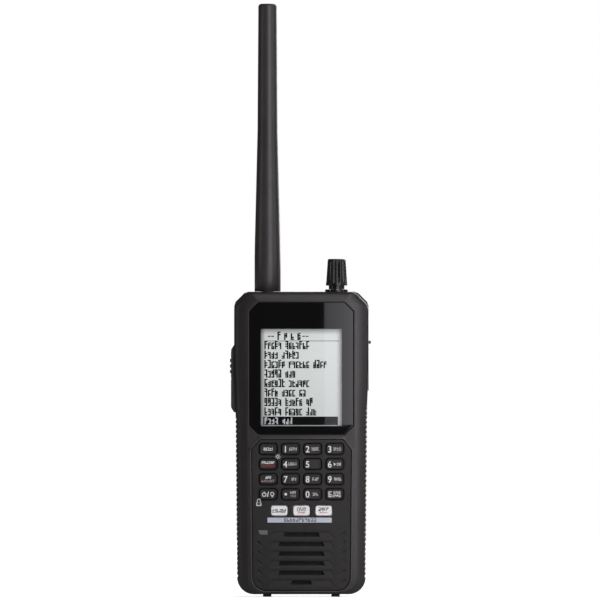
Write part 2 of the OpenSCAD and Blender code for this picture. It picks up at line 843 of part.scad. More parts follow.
module battery_contacts() {
    color("#c8cacc") for (i = [0:cells - 1]) {
        x = (i - (cells - 1) / 2) * (cell_d + 0.5);
        block([x - 4.5, x + 4.5], [cell_y - 4.5, cell_y + 4.5], [bay_z1 - 0.4, bay_z1]);
        block([x - 4.5, x + 4.5], [cell_y - 4.5, cell_y + 4.5], [bay_z0, bay_z0 + 0.4]);
        translate([x, cell_y, bay_z0 + 0.4]) cylinder(h = cell_z - bay_z0 - 0.4, r1 = 3.2, r2 = 2);
        translate([x, cell_y, cell_z + cell_l]) cylinder(h = bay_z1 - 0.4 - cell_z - cell_l, r = 2);
    }
}

module battery_door() {
    color("#313134") {
        block([-door_half, door_half], [rear_y - wall, rear_y], [hinge_z, door_top]);
        pin_x(-door_half, door_half, hinge_y, hinge_z, hinge_r);
        pin_x(-lug_x + 0.3, lug_x - 0.3, hinge_y, hinge_z, hinge_pin_r);
        for (x = [-8, 8]) {
            block([x - 2, x + 2], [rear_y - wall - 1.4, rear_y - wall], [bay_z1 + bay_wall + 0.4, door_top]);
        }
        for (z = [60, 62, 64, 66]) {
            along_x(-7, 7) polygon([[rear_y, z - 0.5], [rear_y + 0.5, z], [rear_y, z + 0.5]]);
        }
    }
}

// ---- belt clip ----

module clip_bracket() {
    color("#28282a") difference() {
        union() {
            block([-post_out, post_out], [rear_y, rear_y + 1], [112, 130]);
            for (x = [-post_out, post_in]) {
                pin_x(x, x + post_out - post_in, pivot_y, pivot_z, post_r);
                block([x, x + post_out - post_in], [rear_y + 1, pivot_y],
                      [pivot_z - post_r, pivot_z + post_r]);
            }
        }
        pin_x(-post_out - 1, post_out + 1, pivot_y, pivot_z, pivot_r);
        for (z = CLIP_SCREW_Z) {
            pin_y(0, z, rear_y - 1, rear_y + 2, shank_r + shank_play);
        }
    }
}

module clip_pin() {
    color("#bfc1c4") pin_x(-post_out, post_out, pivot_y, pivot_z, pivot_r);
}

module clip_spring() {
    color("#a9abae") translate([-4.5, pivot_y, pivot_z]) rotate([0, 90, 0])
        linear_extrude(height = 9, twist = 360 * spring_turns, slices = 16 * spring_turns, $fn = 16)
            translate([spring_r, 0]) circle(r = spring_wire, $fn = 8);
}

module belt_clip() {
    color("#2c2c2f") difference() {
        union() {
            along_x(-clip_w / 2, clip_w / 2) polygon([
                [clip_y - clip_t, clip_top], [clip_y - clip_t, clip_top - clip_l + 6],
                [rear_y + 2.6, clip_top - clip_l + 4], [rear_y + 1.2, clip_top - clip_l + 2],
                [rear_y + 2.6, clip_top - clip_l], [clip_y - 1, clip_top - clip_l],
                [clip_y, clip_top - clip_l + 1.5], [clip_y, clip_top - 1.5], [clip_y - 1, clip_top]]);
            for (x = [-ear_out, ear_in]) {
                pin_x(x, x + ear_out - ear_in, pivot_y, pivot_z, ear_r);
                block([x, x + ear_out - ear_in], [pivot_y, clip_y - clip_t],
                      [pivot_z - ear_r, pivot_z + ear_r]);
            }
        }
        pin_x(-ear_out - 1, ear_out + 1, pivot_y, pivot_z, pivot_r + pivot_play);
    }
}

// Four long screws through the rear casing and two short ones through the clip bracket
module screws() {
    color("#b0b2b5") {
        for (p = SCREW_AT) {
            pin_y(p[0], p[1], inner_y + 7, rear_y - head_h, shank_r);
            pin_y(p[0], p[1], rear_y - head_h, rear_y - 0.1, head_r);
        }
        for (z = CLIP_SCREW_Z) {
            pin_y(0, z, rear_y - 4, rear_y + 1, shank_r);
            pin_y(0, z, rear_y + 1, rear_y + 2, 1.9);
        }
    }
}

front_case();
rear_case();
base_feet();
display_lens();
lens_gasket();
lcd_panel();
lcd_holder();
keypad_mat();
dome_sheet();
main_board();
board_chips();
rf_shield();
speaker_basket();
speaker_cone();
speaker_magnet();
antenna_jack();
antenna_plug();
antenna_whip();
encoder_body();
encoder_plunger();
knob_shaft();
volume_knob();
knob_collar();
earphone_jack();
usb_socket();
card_socket();
memory_card();
port_cover();
side_bezel();
side_switches();
function_button();
menu_button();
battery_cells();
battery_contacts();
battery_door();
clip_bracket();
clip_pin();
clip_spring();
belt_clip();
screws();
for (r = [0:3], c = [0:3]) {
    dark_key(r, c);
}
for (c = [0:2]) {
    soft_key(c);
}
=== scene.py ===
"""Looks of a hand-held radio scanner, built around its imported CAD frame. Lengths are millimetres in the tables
and metres in Blender; every place comes from the frame's own boxes."""
import random
from math import copysign, cos, pi, radians, sin, tan

import bmesh
import bpy
import numpy as np
from mathutils import Matrix, Vector
from mathutils.geometry import delaunay_2d_cdt

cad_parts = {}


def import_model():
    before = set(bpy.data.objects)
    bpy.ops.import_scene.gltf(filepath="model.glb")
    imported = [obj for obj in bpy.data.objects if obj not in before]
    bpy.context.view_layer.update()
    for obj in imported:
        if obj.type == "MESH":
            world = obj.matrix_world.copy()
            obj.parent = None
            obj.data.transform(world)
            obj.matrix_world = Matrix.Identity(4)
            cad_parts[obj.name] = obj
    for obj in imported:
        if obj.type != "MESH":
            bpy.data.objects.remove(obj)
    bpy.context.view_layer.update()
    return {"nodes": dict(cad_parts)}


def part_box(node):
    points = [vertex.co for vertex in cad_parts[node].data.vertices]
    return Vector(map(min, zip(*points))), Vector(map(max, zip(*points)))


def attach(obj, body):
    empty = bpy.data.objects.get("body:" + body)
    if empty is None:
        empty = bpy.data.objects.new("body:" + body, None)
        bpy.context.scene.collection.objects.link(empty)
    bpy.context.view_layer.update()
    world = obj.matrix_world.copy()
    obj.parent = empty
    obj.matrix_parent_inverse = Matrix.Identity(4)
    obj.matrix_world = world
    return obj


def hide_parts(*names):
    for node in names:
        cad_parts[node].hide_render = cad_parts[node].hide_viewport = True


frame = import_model()
NODES = frame["nodes"]
MM = 0.001
BODY = "case_body"


# ---- measures taken from the frame

def box_mm(node):
    """Lowest and highest corner of a CAD node, in millimetres."""
    low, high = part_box(node)
    return Vector(low) / MM, Vector(high) / MM


def centre_mm(node):
    """Middle of a CAD node's box, in millimetres."""
    return [(low + high) / 2 for low, high in zip(*box_mm(node))]


CASE_LOW, CASE_HIGH = box_mm("front_case")
LENS_LOW, LENS_HIGH = box_mm("display_lens")
KNOB_LOW, KNOB_HIGH = box_mm("volume_knob")
WHIP_LOW, WHIP_HIGH = box_mm("antenna_whip")
FRONT_Y, SPLIT_Y = CASE_LOW.y, CASE_HIGH.y
BASE_Z, TOP_Z = CASE_LOW.z, CASE_HIGH.z
HALF_W = 34.0
WALL = 2.0
FRONT_WALL = 2.2
INNER_Y = FRONT_Y + FRONT_WALL
LENS_W, LENS_H = LENS_HIGH.x - LENS_LOW.x, LENS_HIGH.z - LENS_LOW.z
LENS_Z = centre_mm("display_lens")[2]
LENS_CUT, LENS_R = 4.6, 1.2

DARK_KEYS = ["key_func", "key_1", "key_2", "key_3", "key_scan", "key_4", "key_5", "key_6",
             "key_hold", "key_7", "key_8", "key_9", "key_light", "key_dot", "key_0", "key_enter"]
SOFT_KEYS = ["soft_key_left", "soft_key_middle", "soft_key_right"]
KEY_FLANGE = 1.6
DARK_GAP, SOFT_GAP = 0.46, 0.38
DARK_R, SOFT_R = 1.48, 1.2

# The casing's outline, and the edge of its flat face
BOTTOM_HALF, BOTTOM_R = 32.4, 8.5
CORNER_CUT, CORNER_R = 7.2, 6.0
GRIP_LOW, GRIP_TOP, WAIST = 10.5, 98.0, 115.0
GRIP_W_LOW, GRIP_W_TOP = HALF_W - 1.5, HALF_W - 0.7
RIB_PITCH, RIB_DEPTH = 2.47, 0.45
RIBS_END = {1: 96.5, -1: 91.5}
FACE_HALF, FACE_HALF_LOW = LENS_HIGH.x + 1.15, 26.9
FACE_LOW_Z, FACE_TOP_Z = BASE_Z + 0.95, LENS_HIGH.z + 0.95
FACE_R_LOW, FACE_R = 7.2, 1.6
SIDE_N = 440
CASE_COUNTS = [SIDE_N, 6, 30, 6, SIDE_N, 40]


# ---- outlines: lists of (x, z) in millimetres

def outline(corners, counts, arc_n=10):
    """Points round a polygon. corners are (x, z, radius); counts[i] is for the side after corner i."""
    arcs = []
    total = len(corners)
    for i, (x, z, r) in enumerate(corners):
        here = Vector((x, z))
        back = (Vector(corners[i - 1][:2]) - here).normalized()
        ahead = (Vector(corners[(i + 1) % total][:2]) - here).normalized()
        half = back.angle(ahead) / 2
        reach = r / tan(half)
        middle = here + (back + ahead).normalized() * (r / sin(half))
        start, end = here + back * reach - middle, here + ahead * reach - middle
        turn = start.angle_signed(end)
        arcs.append([middle + Matrix.Rotation(-turn * k / arc_n, 2) @ start for k in range(arc_n + 1)])
    points = []
    for i, arc in enumerate(arcs):
        a, b, n = arc[-1], arcs[(i + 1) % total][0], counts[i]
        points += arc + [a.lerp(b, k / (n + 1)) for k in range(1, n + 1)]
    return [(p.x, p.y) for p in points]


def mirrored(right):
    """Corners of a left half added to those of a right half, which run from the bottom up."""
    return right + [(-x, z, r) for x, z, r in reversed(right)]


def placed_outline(half, n, cx=0.0, cz=0.0):
    """The outline of a mirrored half without points along its sides, moved to (cx, cz)."""
    return [(x + cx, z + cz) for x, z in outline(mirrored(half), [0] * (2 * len(half)), n)]


def round_loop(w, h, r, n=8, cx=0.0, cz=0.0):
    """A rectangle with rounded corners."""
    return placed_outline([(w / 2, -h / 2, r), (w / 2, h / 2, r)], n, cx, cz)


def lens_loop(gap):
    """The lens's outline, a rectangle with cut corners, or the hole around it with a gap on either side."""
    w, h, cut = LENS_W / 2 + gap, LENS_H / 2 + gap, LENS_CUT
    half = [(w - cut, -h, LENS_R), (w, -h + cut, LENS_R), (w, h - cut, LENS_R), (w - cut, h, LENS_R)]
    return placed_outline(half, 6, 0, LENS_Z)


def grown(loop, d):
    """The loop moved outward by d, with mitred corners. The loop runs anticlockwise seen from the front."""
    out = []
    total = len(loop)
    for i, (x, z) in enumerate(loop):
        a, b = loop[i - 1], loop[(i + 1) % total]
        d1 = Vector((x - a[0], z - a[1])).normalized()
        d2 = Vector((b[0] - x, b[1] - z)).normalized()
        n1, n2 = Vector((d1.y, -d1.x)), Vector((d2.y, -d2.x))
        miter = (n1 + n2) / max(1 + n1.dot(n2), 0.3)
        out.append((x + miter.x * d, z + miter.y * d))
    return out


def flank(z):
    """Half the casing's width at the tips of the grip ribs."""
    return np.interp(z, (GRIP_LOW, GRIP_TOP, WAIST), (GRIP_W_LOW, GRIP_W_TOP, HALF_W))


def rib(z, side):
    """How deep the grip groove is at a height, from 0 to 1."""
    if not GRIP_LOW - 0.5 < z < RIBS_END[side]:
        return 0.0
    wave = cos(2 * pi * (z - GRIP_LOW) / RIB_PITCH)
    return min(1.0, max(0.0, 0.35 + 0.9 * wave))


def case_outline(half_low, half_high, low_z, high_z, r_low, cut, r_cut):
    """The casing's shape with rounded lower and cut upper corners, always with as many points."""
    half = [(half_low, low_z, r_low), (half_high, high_z - cut, r_cut), (half_high - cut, high_z, r_cut)]
    return outline(mirrored(half), CASE_COUNTS)


def side_outline():
    """The casing's silhouette, without ribs."""
    loop = case_outline(BOTTOM_HALF, HALF_W, BASE_Z, TOP_Z, BOTTOM_R, CORNER_CUT, CORNER_R)
    low, high = BASE_Z + BOTTOM_R, TOP_Z - CORNER_CUT - 1.5
    return [(copysign(flank(z), x), z) if low < z < high and abs(x) > 20 else (x, z) for x, z in loop]


def face_outline():
    """The edge of the flat front face."""
    return case_outline(FACE_HALF_LOW, FACE_HALF, FACE_LOW_Z, FACE_TOP_Z, FACE_R_LOW, LENS_CUT + 0.3, FACE_R)


# ---- mesh tools

def in_scene(name, data):
    """A new object in the scene."""
    made = bpy.data.objects.new(name, data)
    bpy.context.scene.collection.objects.link(made)
    return made


def new_object(name, mesh, body, replaces=()):
    """A new piece that rides a body, in place of CAD nodes or beside them."""
    piece = in_scene(name, mesh)
    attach(piece, body)
    if replaces:
        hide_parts(*replaces)
    return piece


def finished(name, bm, mats, body, replaces=(), sharp=35.0):
    """The piece made of a bmesh: millimetres into metres, and smooth shading with sharp edges."""
    bmesh.ops.remove_doubles(bm, verts=bm.verts, dist=0.0005)
    bmesh.ops.recalc_face_normals(bm, faces=bm.faces)
    bmesh.ops.scale(bm, vec=(MM, MM, MM), verts=bm.verts)
    for face in bm.faces:
        face.smooth = True
    mesh = bpy.data.meshes.new(name)
    bm.to_mesh(mesh)
    bm.free()
    for mat in mats:
        mesh.materials.append(MATS[mat])
    mesh.set_sharp_from_angle(angle=radians(sharp))
    return new_object(name, mesh, body, replaces)


def even_normals(piece):
    """Large flat faces keep their own normal, and rounded rims blend into them."""
    modifier = piece.modifiers.new("normals", "WEIGHTED_NORMAL")
    modifier.keep_sharp = True
    modifier.weight = 90


def ring(bm, loop, y):
    return [bm.verts.new((x, y, z)) for x, z in loop]


def ring_3d(bm, points):
    return [bm.verts.new(p) for p in points]


def bridge(bm, a, b, mat=0):
    """Faces between two rings with as many points."""
    n = len(a)
    for i in range(n):
        j = (i + 1) % n
        face = bm.faces.new((a[i], a[j], b[j], b[i]))
        face.material_index = mat


def chain(bm, rings, mat=0):
    """Faces between each ring and the next."""
    for a, b in zip(rings, rings[1:]):
        bridge(bm, a, b, mat)


def fill(bm, rings, mat=0):
    """Flat faces between an outer ring and any rings inside it, using every point of every ring."""
    verts = [v for loop in rings for v in loop]
    points = [Vector((v.co.x, v.co.z)) for v in verts]
    edges, start = [], 0
    for loop in rings:
        n = len(loop)
        edges += [(start + i, start + (i + 1) % n) for i in range(n)]
        start += n
    _, _, faces, origins, _, _ = delaunay_2d_cdt(points, edges, [], 1, 1e-7)
    a = np.array([points[i] for i, _ in edges])
    b = np.array([points[j] for _, j in edges])
    for face in faces:
        corners = [origins[i][0] for i in face]
        x, z = sum((points[i] for i in corners), Vector((0, 0))) / 3
        # A triangle is inside where a line to its right crosses the rings an odd number of times
        crosses = (a[:, 1] > z) != (b[:, 1] > z)
        p, q = a[crosses], b[crosses]
        reach = p[:, 0] + (z - p[:, 1]) * (q[:, 0] - p[:, 0]) / (q[:, 1] - p[:, 1])
        if np.count_nonzero(reach > x) % 2:
            made = bm.faces.new([verts[i] for i in corners])
            made.material_index = mat


def prism(bm, loop, front_y, back_y):
    """A closed flat plate with the loop as its outline."""
    front, back = ring(bm, loop, front_y), ring(bm, loop, back_y)
    bridge(bm, front, back)
    fill(bm, [front])
    fill(bm, [back])


RIM = [(1.0, 0.0), (0.62, 0.08), (0.29, 0.29), (0.08, 0.62), (0.0, 1.0)]
BEAD = [(0.66, 0.0), (0.58, -0.07), (0.44, -0.12), (0.3, -0.12), (0.16, -0.06), (0.05, 0.06), (0.0, 0.22)]
HOLE, PLATE = 1, -1


def rim(bm, loop, y, size, end_y, way=HOLE):
    """A rounded edge from a plane of constant Y into the wall of a hole or plate, down to end_y.
    Returns the ring in the plane and the last ring."""
    rings = [ring(bm, grown(loop, way * size * out), y + size * down) for out, down in RIM]
    rings.append(ring(bm, loop, end_y))
    chain(bm, rings)
    return rings[0], rings[-1]


def beaded_rim(bm, loop, y, end_y, mat=0):
    """A thin raised bead round a hole, then the hole's wall down to end_y. Returns the outer and last ring."""
    rings = [ring(bm, grown(loop, out), y + down) for out, down in BEAD]
    end = ring(bm, loop, end_y)
    chain(bm, rings, mat)
    bridge(bm, rings[-1], end)
    return rings[0], end


# ---- shader tools

def tune(node, settings):
    """Sets inputs or properties of a node by their names."""
    for key, value in settings.items():
        if key in node.inputs:
            node.inputs[key].default_value = value
        else:
            setattr(node, key, value)


def principled(name, color, rough, metallic=0.0, specular=0.5):
    """A new material and its shader."""
    mat = bpy.data.materials.new(name)
    mat.use_nodes = True
    shader = mat.node_tree.nodes["Principled BSDF"]
    tune(shader, {"Base Color": (*color, 1), "Roughness": rough, "Metallic": metallic,
                  "Specular IOR Level": specular})
    return mat, shader


def add(mat, kind, **settings):
    """A new node of a material or a world."""
    node = mat.node_tree.nodes.new("ShaderNode" + kind)
    tune(node, settings)
    return node


def link(a, out, b, into):
    a.id_data.links.new(a.outputs[out], b.inputs[into])


def texture(mat, kind, stretch=None, **settings):
    """A texture in the object's own metres, its scale in waves per metre, stretched along an axis on demand."""
    source, out = add(mat, "TexCoord"), "Object"
    made = add(mat, kind, **settings)
    if stretch:
        mapping = add(mat, "Mapping", Scale=stretch)
        link(source, out, mapping, "Vector")
        source, out = mapping, "Vector"
    link(source, out, made, "Vector")
    return made


def noise(mat, scale, detail=3.0, stretch=None):
    return texture(mat, "TexNoise", stretch, Scale=scale, Detail=detail)


def spread(mat):
    """How far along X, Y and Z of its piece a point is, from 0 to 1."""
    split = add(mat, "SeparateXYZ")
    link(add(mat, "TexCoord"), "Generated", split, "Vector")
    return split


def ranged(mat, source, out, low, high, start=0.3, end=0.7):
    """A value that runs from start to end, brought to low to high."""
    node = add(mat, "MapRange", **{"From Min": start, "From Max": end, "To Min": low, "To Max": high})
    link(source, out, node, "Value")
    return node


def uneven_gloss(mat, shader, source, low, high):
    link(ranged(mat, source, "Fac", low, high), "Result", shader, "Roughness")


def bumped(mat, shader, source, out, distance, strength):
    bump = add(mat, "Bump", Distance=distance, Strength=strength)
    link(source, out, bump, "Height")
    link(bump, "Normal", shader, "Normal")


def ramp(mat, source, out, stops, interpolation="LINEAR"):
    """Colours along a value. stops are (place, colour) from low to high."""
    node = add(mat, "ValToRGB")
    node.color_ramp.interpolation = interpolation
    elements = node.color_ramp.elements
    for element, (place, color) in ((elements[0], stops[0]), (elements[1], stops[-1])):
        element.position, element.color = place, (*color, 1)
    for place, color in stops[1:-1]:
        elements.new(place).color = (*color, 1)
    link(source, out, node, "Fac")
    return node


def paint(mat, shader, *ramp_settings):
    link(ramp(mat, *ramp_settings), "Color", shader, "Base Color")


def multiplied(mat, first, out, second):
    """A colour darkened by another node's colour."""
    mix = add(mat, "Mix", data_type="RGBA", blend_type="MULTIPLY")
    mix.inputs["Factor"].default_value = 1.0
    link(first, out, mix, "A")
    link(second, "Color", mix, "B")
    return mix


def surface(owner, node):
    """Puts a shader node on the output of a material or a world."""
    output = next(n for n in owner.node_tree.nodes if n.type.startswith("OUTPUT"))
    owner.node_tree.links.new(node.outputs[0], output.inputs["Surface"])


def blended_surface(owner, factor, first, second):
    """Shows the first shader where factor is 0 and the second where it is 1."""
    mix = add(owner, "MixShader")
    links = owner.node_tree.links
    links.new(factor, mix.inputs["Fac"])
    links.new(first.outputs[0], mix.inputs[1])
    links.new(second.outputs[0], mix.inputs[2])
    surface(owner, mix)


# ---- materials

GRAIN_STRENGTH = 0.6
PATCH_SCALE, GLOSS_SCALE = 60.0, 350.0
CORNER_START, CORNER_END = 0.53, 0.64
WORN_GAIN, WORN_LIFT = 2.2, 0.012
LENS_IOR = 1.5


def moulded(name, color, rough, grain=9000.0, depth=0.000012, variation=0.12, wear=0.35, specular=0.5):
    """Moulded plastic or rubber: fine grain, patchy colour and gloss, and edges rubbed a little lighter."""
    mat, shader = principled(name, color, rough, specular=specular)
    bumped(mat, shader, noise(mat, grain, 2.0), "Fac", depth, GRAIN_STRENGTH)
    darker, lighter = ([c * (1 + change) for c in color] for change in (-variation, variation))
    tone = ramp(mat, noise(mat, PATCH_SCALE, 4.0), "Fac", [(0.3, darker), (0.7, lighter)])
    geometry = add(mat, "NewGeometry")
    edge = ranged(mat, geometry, "Pointiness", 0.0, wear, CORNER_START, CORNER_END)
    mix = add(mat, "Mix", data_type="RGBA")
    mix.inputs["B"].default_value = (*[min(1, c * WORN_GAIN + WORN_LIFT) for c in color], 1)
    link(edge, "Result", mix, "Factor")
    link(tone, "Color", mix, "A")
    link(mix, "Result", shader, "Base Color")
    uneven_gloss(mat, shader, noise(mat, GLOSS_SCALE, 5.0), rough - 0.05, rough + 0.06)
    return mat


def metal(name, color, rough, stretch=(1, 1, 40)):
    """Drawn or plated metal with fine lines along one axis."""
    mat, shader = principled(name, color, rough, metallic=1.0)
    lines = noise(mat, 900.0, 3.0, stretch)
    uneven_gloss(mat, shader, lines, rough * 0.7, rough * 1.4)
    bumped(mat, shader, lines, "Fac", 0.00001, 0.3)
    return mat


def ink(name, color, rough=0.5, specular=0.5):
    """Printed ink, slightly uneven where it was pressed on."""
    mat, shader = principled(name, color, rough, specular=specular)
    paint(mat, shader, noise(mat, 2500.0), "Fac", [(0, [c * 0.86 for c in color]), (1, color)])
    return mat


def window_material():
    """Clear lens window: what lies behind shows through, under a polished surface."""
    mat, shader = principled("lens_window", (1, 1, 1), 0.02)
    mat.node_tree.nodes.remove(shader)
    clear = add(mat, "BsdfTransparent", Color=(0.93, 0.94, 0.95, 1))
    gloss = add(mat, "BsdfGlossy", Roughness=0.015)
    # The rear surface doesn't reflect: light that has passed the front one goes straight through
    front_only = add(mat, "Mix", data_type="FLOAT")
    front_only.inputs["B"].default_value = 0.0
    link(add(mat, "NewGeometry"), "Backfacing", front_only, "Factor")
    link(add(mat, "Fresnel", IOR=LENS_IOR), "Fac", front_only, "A")
    blended_surface(mat, front_only.outputs["Result"], clear, gloss)
    return mat


def gloss_black():
    """Polished black surface with faint wipe marks."""
    mat, shader = principled("lens_black", (0.0015, 0.0015, 0.0018), 0.03)
    uneven_gloss(mat, shader, noise(mat, 45.0, 6.0, (1, 1, 3)), 0.015, 0.05)
    return mat


def edge_shade(mat, split, axis, places, under):
    """Painted shadow: darkens a colour towards both ends of one axis. places are where the painted shadow ends
    and starts, from 0 to 1.
    """
    stops = [(place, (grey, grey, grey)) for place, grey in zip(places, (0.22, 1, 1, 0.45))]
    return multiplied(mat, under, "Result", ramp(mat, split, axis, stops))


LCD_GRID = {"Color1": (0.74, 0.75, 0.695, 1), "Color2": (0.76, 0.77, 0.715, 1), "Mortar": (0.66, 0.67, 0.615, 1),
            "Brick Width": 0.00032, "Row Height": 0.00042, "Mortar Size": 0.00003, "Scale": 1.0, "offset": 0.0}
LCD_GLOW = 0.3


def lcd_material():
    """Pale display: faint cell grid and a soft fall of brightness towards its lower edge."""
    mat, shader = principled("lcd_glass", (0.66, 0.68, 0.65), 0.35)
    grid = add(mat, "TexBrick", **LCD_GRID)
    upright = add(mat, "Mapping", Rotation=(radians(90), 0, 0))
    link(add(mat, "TexCoord"), "Object", upright, "Vector")
    link(upright, "Vector", grid, "Vector")
    split = spread(mat)
    fall = ranged(mat, split, "Z", 0.93, 1.1, 0.0, 1.0)
    combine = add(mat, "CombineColor")
    for channel in ("Red", "Green", "Blue"):
        link(fall, "Result", combine, channel)
    shaded = multiplied(mat, grid, "Color", combine)
    # Painted shadow along the display's edges, where the window's frame shades it; it darkens both the colour and
    # the glow.
    shaded = edge_shade(mat, split, "X", (0.03, 0.085, 0.9, 0.97), shaded)
    shaded = edge_shade(mat, split, "Z", (0.04, 0.06, 0.9, 0.96), shaded)
    link(shaded, "Result", shader, "Base Color")
    link(shaded, "Result", shader, "Emission Color")
    shader.inputs["Emission Strength"].default_value = LCD_GLOW
    return mat


def board_material():
    """Green solder mask over paler copper areas."""
    mat, shader = principled("circuit_board", (0.01, 0.12, 0.04), 0.35)
    cells = texture(mat, "TexVoronoi", Scale=300.0, feature="DISTANCE_TO_EDGE")
    paint(mat, shader, cells, "Distance", [(0, (0.03, 0.24, 0.09)), (0.12, (0.006, 0.1, 0.035))])
    return mat


def cell_material():
    """Battery jacket: a dark body with a copper-coloured band above it, between bare metal ends."""
    mat, shader = principled("cell_jacket", (0.1, 0.11, 0.13), 0.3, metallic=0.6)
    bands = [(0, (0.6, 0.6, 0.62)), (0.03, (0.035, 0.04, 0.06)), (0.74, (0.55, 0.3, 0.13)),
             (0.965, (0.65, 0.65, 0.67))]
    paint(mat, shader, spread(mat), "Z", bands, "CONSTANT")
    uneven_gloss(mat, shader, noise(mat, 400.0), 0.22, 0.36)
    return mat


def cloth_material():
    """Woven dark speaker cloth."""
    mat, shader = principled("speaker_cloth", (0.012, 0.012, 0.013), 0.9)
    weave = texture(mat, "TexVoronoi", Scale=2600.0)
    bumped(mat, shader, weave, "Distance", 0.0001, 0.8)
    paint(mat, shader, weave, "Distance", [(0, (0.02, 0.02, 0.022)), (1, (0.006, 0.006, 0.006))])
    return mat


KEY_GRAIN = {"grain": 5000.0, "depth": 0.000004}
MATS = {
    "casing": moulded("casing_plastic", (0.0188, 0.0167, 0.0156), 0.38),
    "panel": moulded("panel_plastic", (0.0155, 0.014, 0.0134), 0.5, specular=0.36),
    "antenna": moulded("antenna_rubber", (0.034, 0.0315, 0.0295), 0.36, grain=5000.0, wear=0.2),
    "knob": moulded("knob_plastic", (0.004, 0.004, 0.004), 0.24, 4000.0, 0.000003, variation=0.05, wear=0.1),
    "rubber": moulded("side_rubber", (0.015, 0.015, 0.0155), 0.55, grain=7000.0),
    "clip": moulded("clip_plastic", (0.016, 0.016, 0.0165), 0.42),
    # Painted shade: the dark keys' rounded sides are much darker than their tops, though both are one plastic.
    "key_side_painted_shade": moulded("key_side_painted_shade", (0.003, 0.003, 0.003), 0.5, wear=0.1, **KEY_GRAIN),
    "key_top": moulded("key_top", (0.0172, 0.0154, 0.0148), 0.42, wear=0.1, specular=0.36, **KEY_GRAIN),
    "white_key": moulded("white_key", (0.97, 0.97, 0.96), 0.35, variation=0.03, wear=0.0, **KEY_GRAIN),
    "white_plastic": moulded("white_plastic", (0.62, 0.62, 0.6), 0.45, variation=0.05, wear=0.0),
    "silicone": moulded("silicone", (0.07, 0.07, 0.075), 0.6),
    "dome_film": moulded("dome_film", (0.5, 0.42, 0.24), 0.4, variation=0.06, wear=0.0),
    "chip": moulded("chip_epoxy", (0.012, 0.012, 0.012), 0.5, wear=0.05),
    "paper": moulded("speaker_paper", (0.016, 0.016, 0.016), 0.85, grain=2500.0, depth=0.00004),
    "magnet": metal("magnet_plate", (0.2, 0.21, 0.22), 0.4),
    # Painted highlight: a lighter plastic for the bead round the panel opening, standing in for light caught
    # along it.
    "bead_painted_highlight": moulded("bead_painted_highlight", (0.045, 0.044, 0.045), 0.3, wear=0.0),
    "steel": metal("bright_steel", (0.62, 0.63, 0.65), 0.2),
    "tin": metal("tinned_sheet", (0.55, 0.56, 0.57), 0.32, (1, 1, 1)),
    "brass": metal("plated_brass", (0.75, 0.55, 0.24), 0.25),
    "board": board_material(),
    "cell": cell_material(),
    "cloth": cloth_material(),
    "lcd": lcd_material(),
    "lens_black": gloss_black(),
    "lens_window": window_material(),
}
INKS = {"white": (0.95, 0.95, 0.95), "label": (0.66, 0.66, 0.67), "grey": (0.14, 0.14, 0.145),
        "slate": (0.13, 0.14, 0.17), "pink": (0.42, 0.3, 0.3), "red": (0.16, 0.018, 0.02),
        "bright_red": (0.6, 0.1, 0.07), "dark": (0.012, 0.012, 0.014), "blue": (0.6, 0.64, 0.7)}
MATS.update({name: ink("ink_" + name, color) for name, color in INKS.items()})
MATS["lcd_dots"] = ink("ink_lcd", (0.004, 0.006, 0.005), 0.8, 0.05)


# ---- front casing

BAND = [(0.0, 4.3), (0.012, 3.75), (0.04, 3.2), (0.09, 2.62), (0.16, 2.12), (0.26, 1.66), (0.4, 1.2),
        (0.56, 0.78), (0.72, 0.43), (0.86, 0.17), (0.95, 0.04), (1.0, 0.0)]


def shoulder_point(outer, inner, share):
    """A point on the band between the silhouette and the flat face, with ribs that fade inward."""
    x = outer[0] + (inner[0] - outer[0]) * share
    z = outer[1] + (inner[1] - outer[1]) * share
    if abs(outer[0]) > GRIP_W_LOW - 3:
        side = 1 if x > 0 else -1
        x -= side * RIB_DEPTH * rib(outer[1], side) * max(0.0, 1 - share / 0.3)
    return x, z


PANEL_HALF, PANEL_TOP, PANEL_BOTTOM = 25.1, 79.5, BASE_Z + 2.0
LENS_GAP, LENS_CLEARANCE, PANEL_GAP = 0.15, 0.2, 0.22
WINDOW_W, WINDOW_H, WINDOW_DROP = 47.3, 55.5, 2.0
INNER_SHOULDER = 5.2


def panel_loop():
    half = [(PANEL_HALF - 0.6, PANEL_BOTTOM, 6.6), (PANEL_HALF, PANEL_TOP - 5.3, 1.6),
            (PANEL_HALF - 4, PANEL_TOP, 1.6)]
    return outline(mirrored(half), [10, 2, 10, 2, 10, 10], 8)


def shell_inside(bm, silhouette, face, edge):
    """The inside of the side wall and shoulder, from the outer wall's edge. Returns the ring inside the face."""
    middle = (TOP_Z + BASE_Z) / 2
    shrink_x, shrink_z = 1 - WALL / HALF_W, 1 - 2 * WALL / (TOP_Z - BASE_Z)
    inside = [(x * shrink_x, middle + (z - middle) * shrink_z) for x, z in silhouette]
    edges = [ring(bm, inside, SPLIT_Y), ring(bm, inside, FRONT_Y + INNER_SHOULDER),
             ring(bm, [(x * 0.997, middle + (z - middle) * 0.997) for x, z in face], INNER_Y)]
    chain(bm, [edge] + edges)
    return edges[-1]


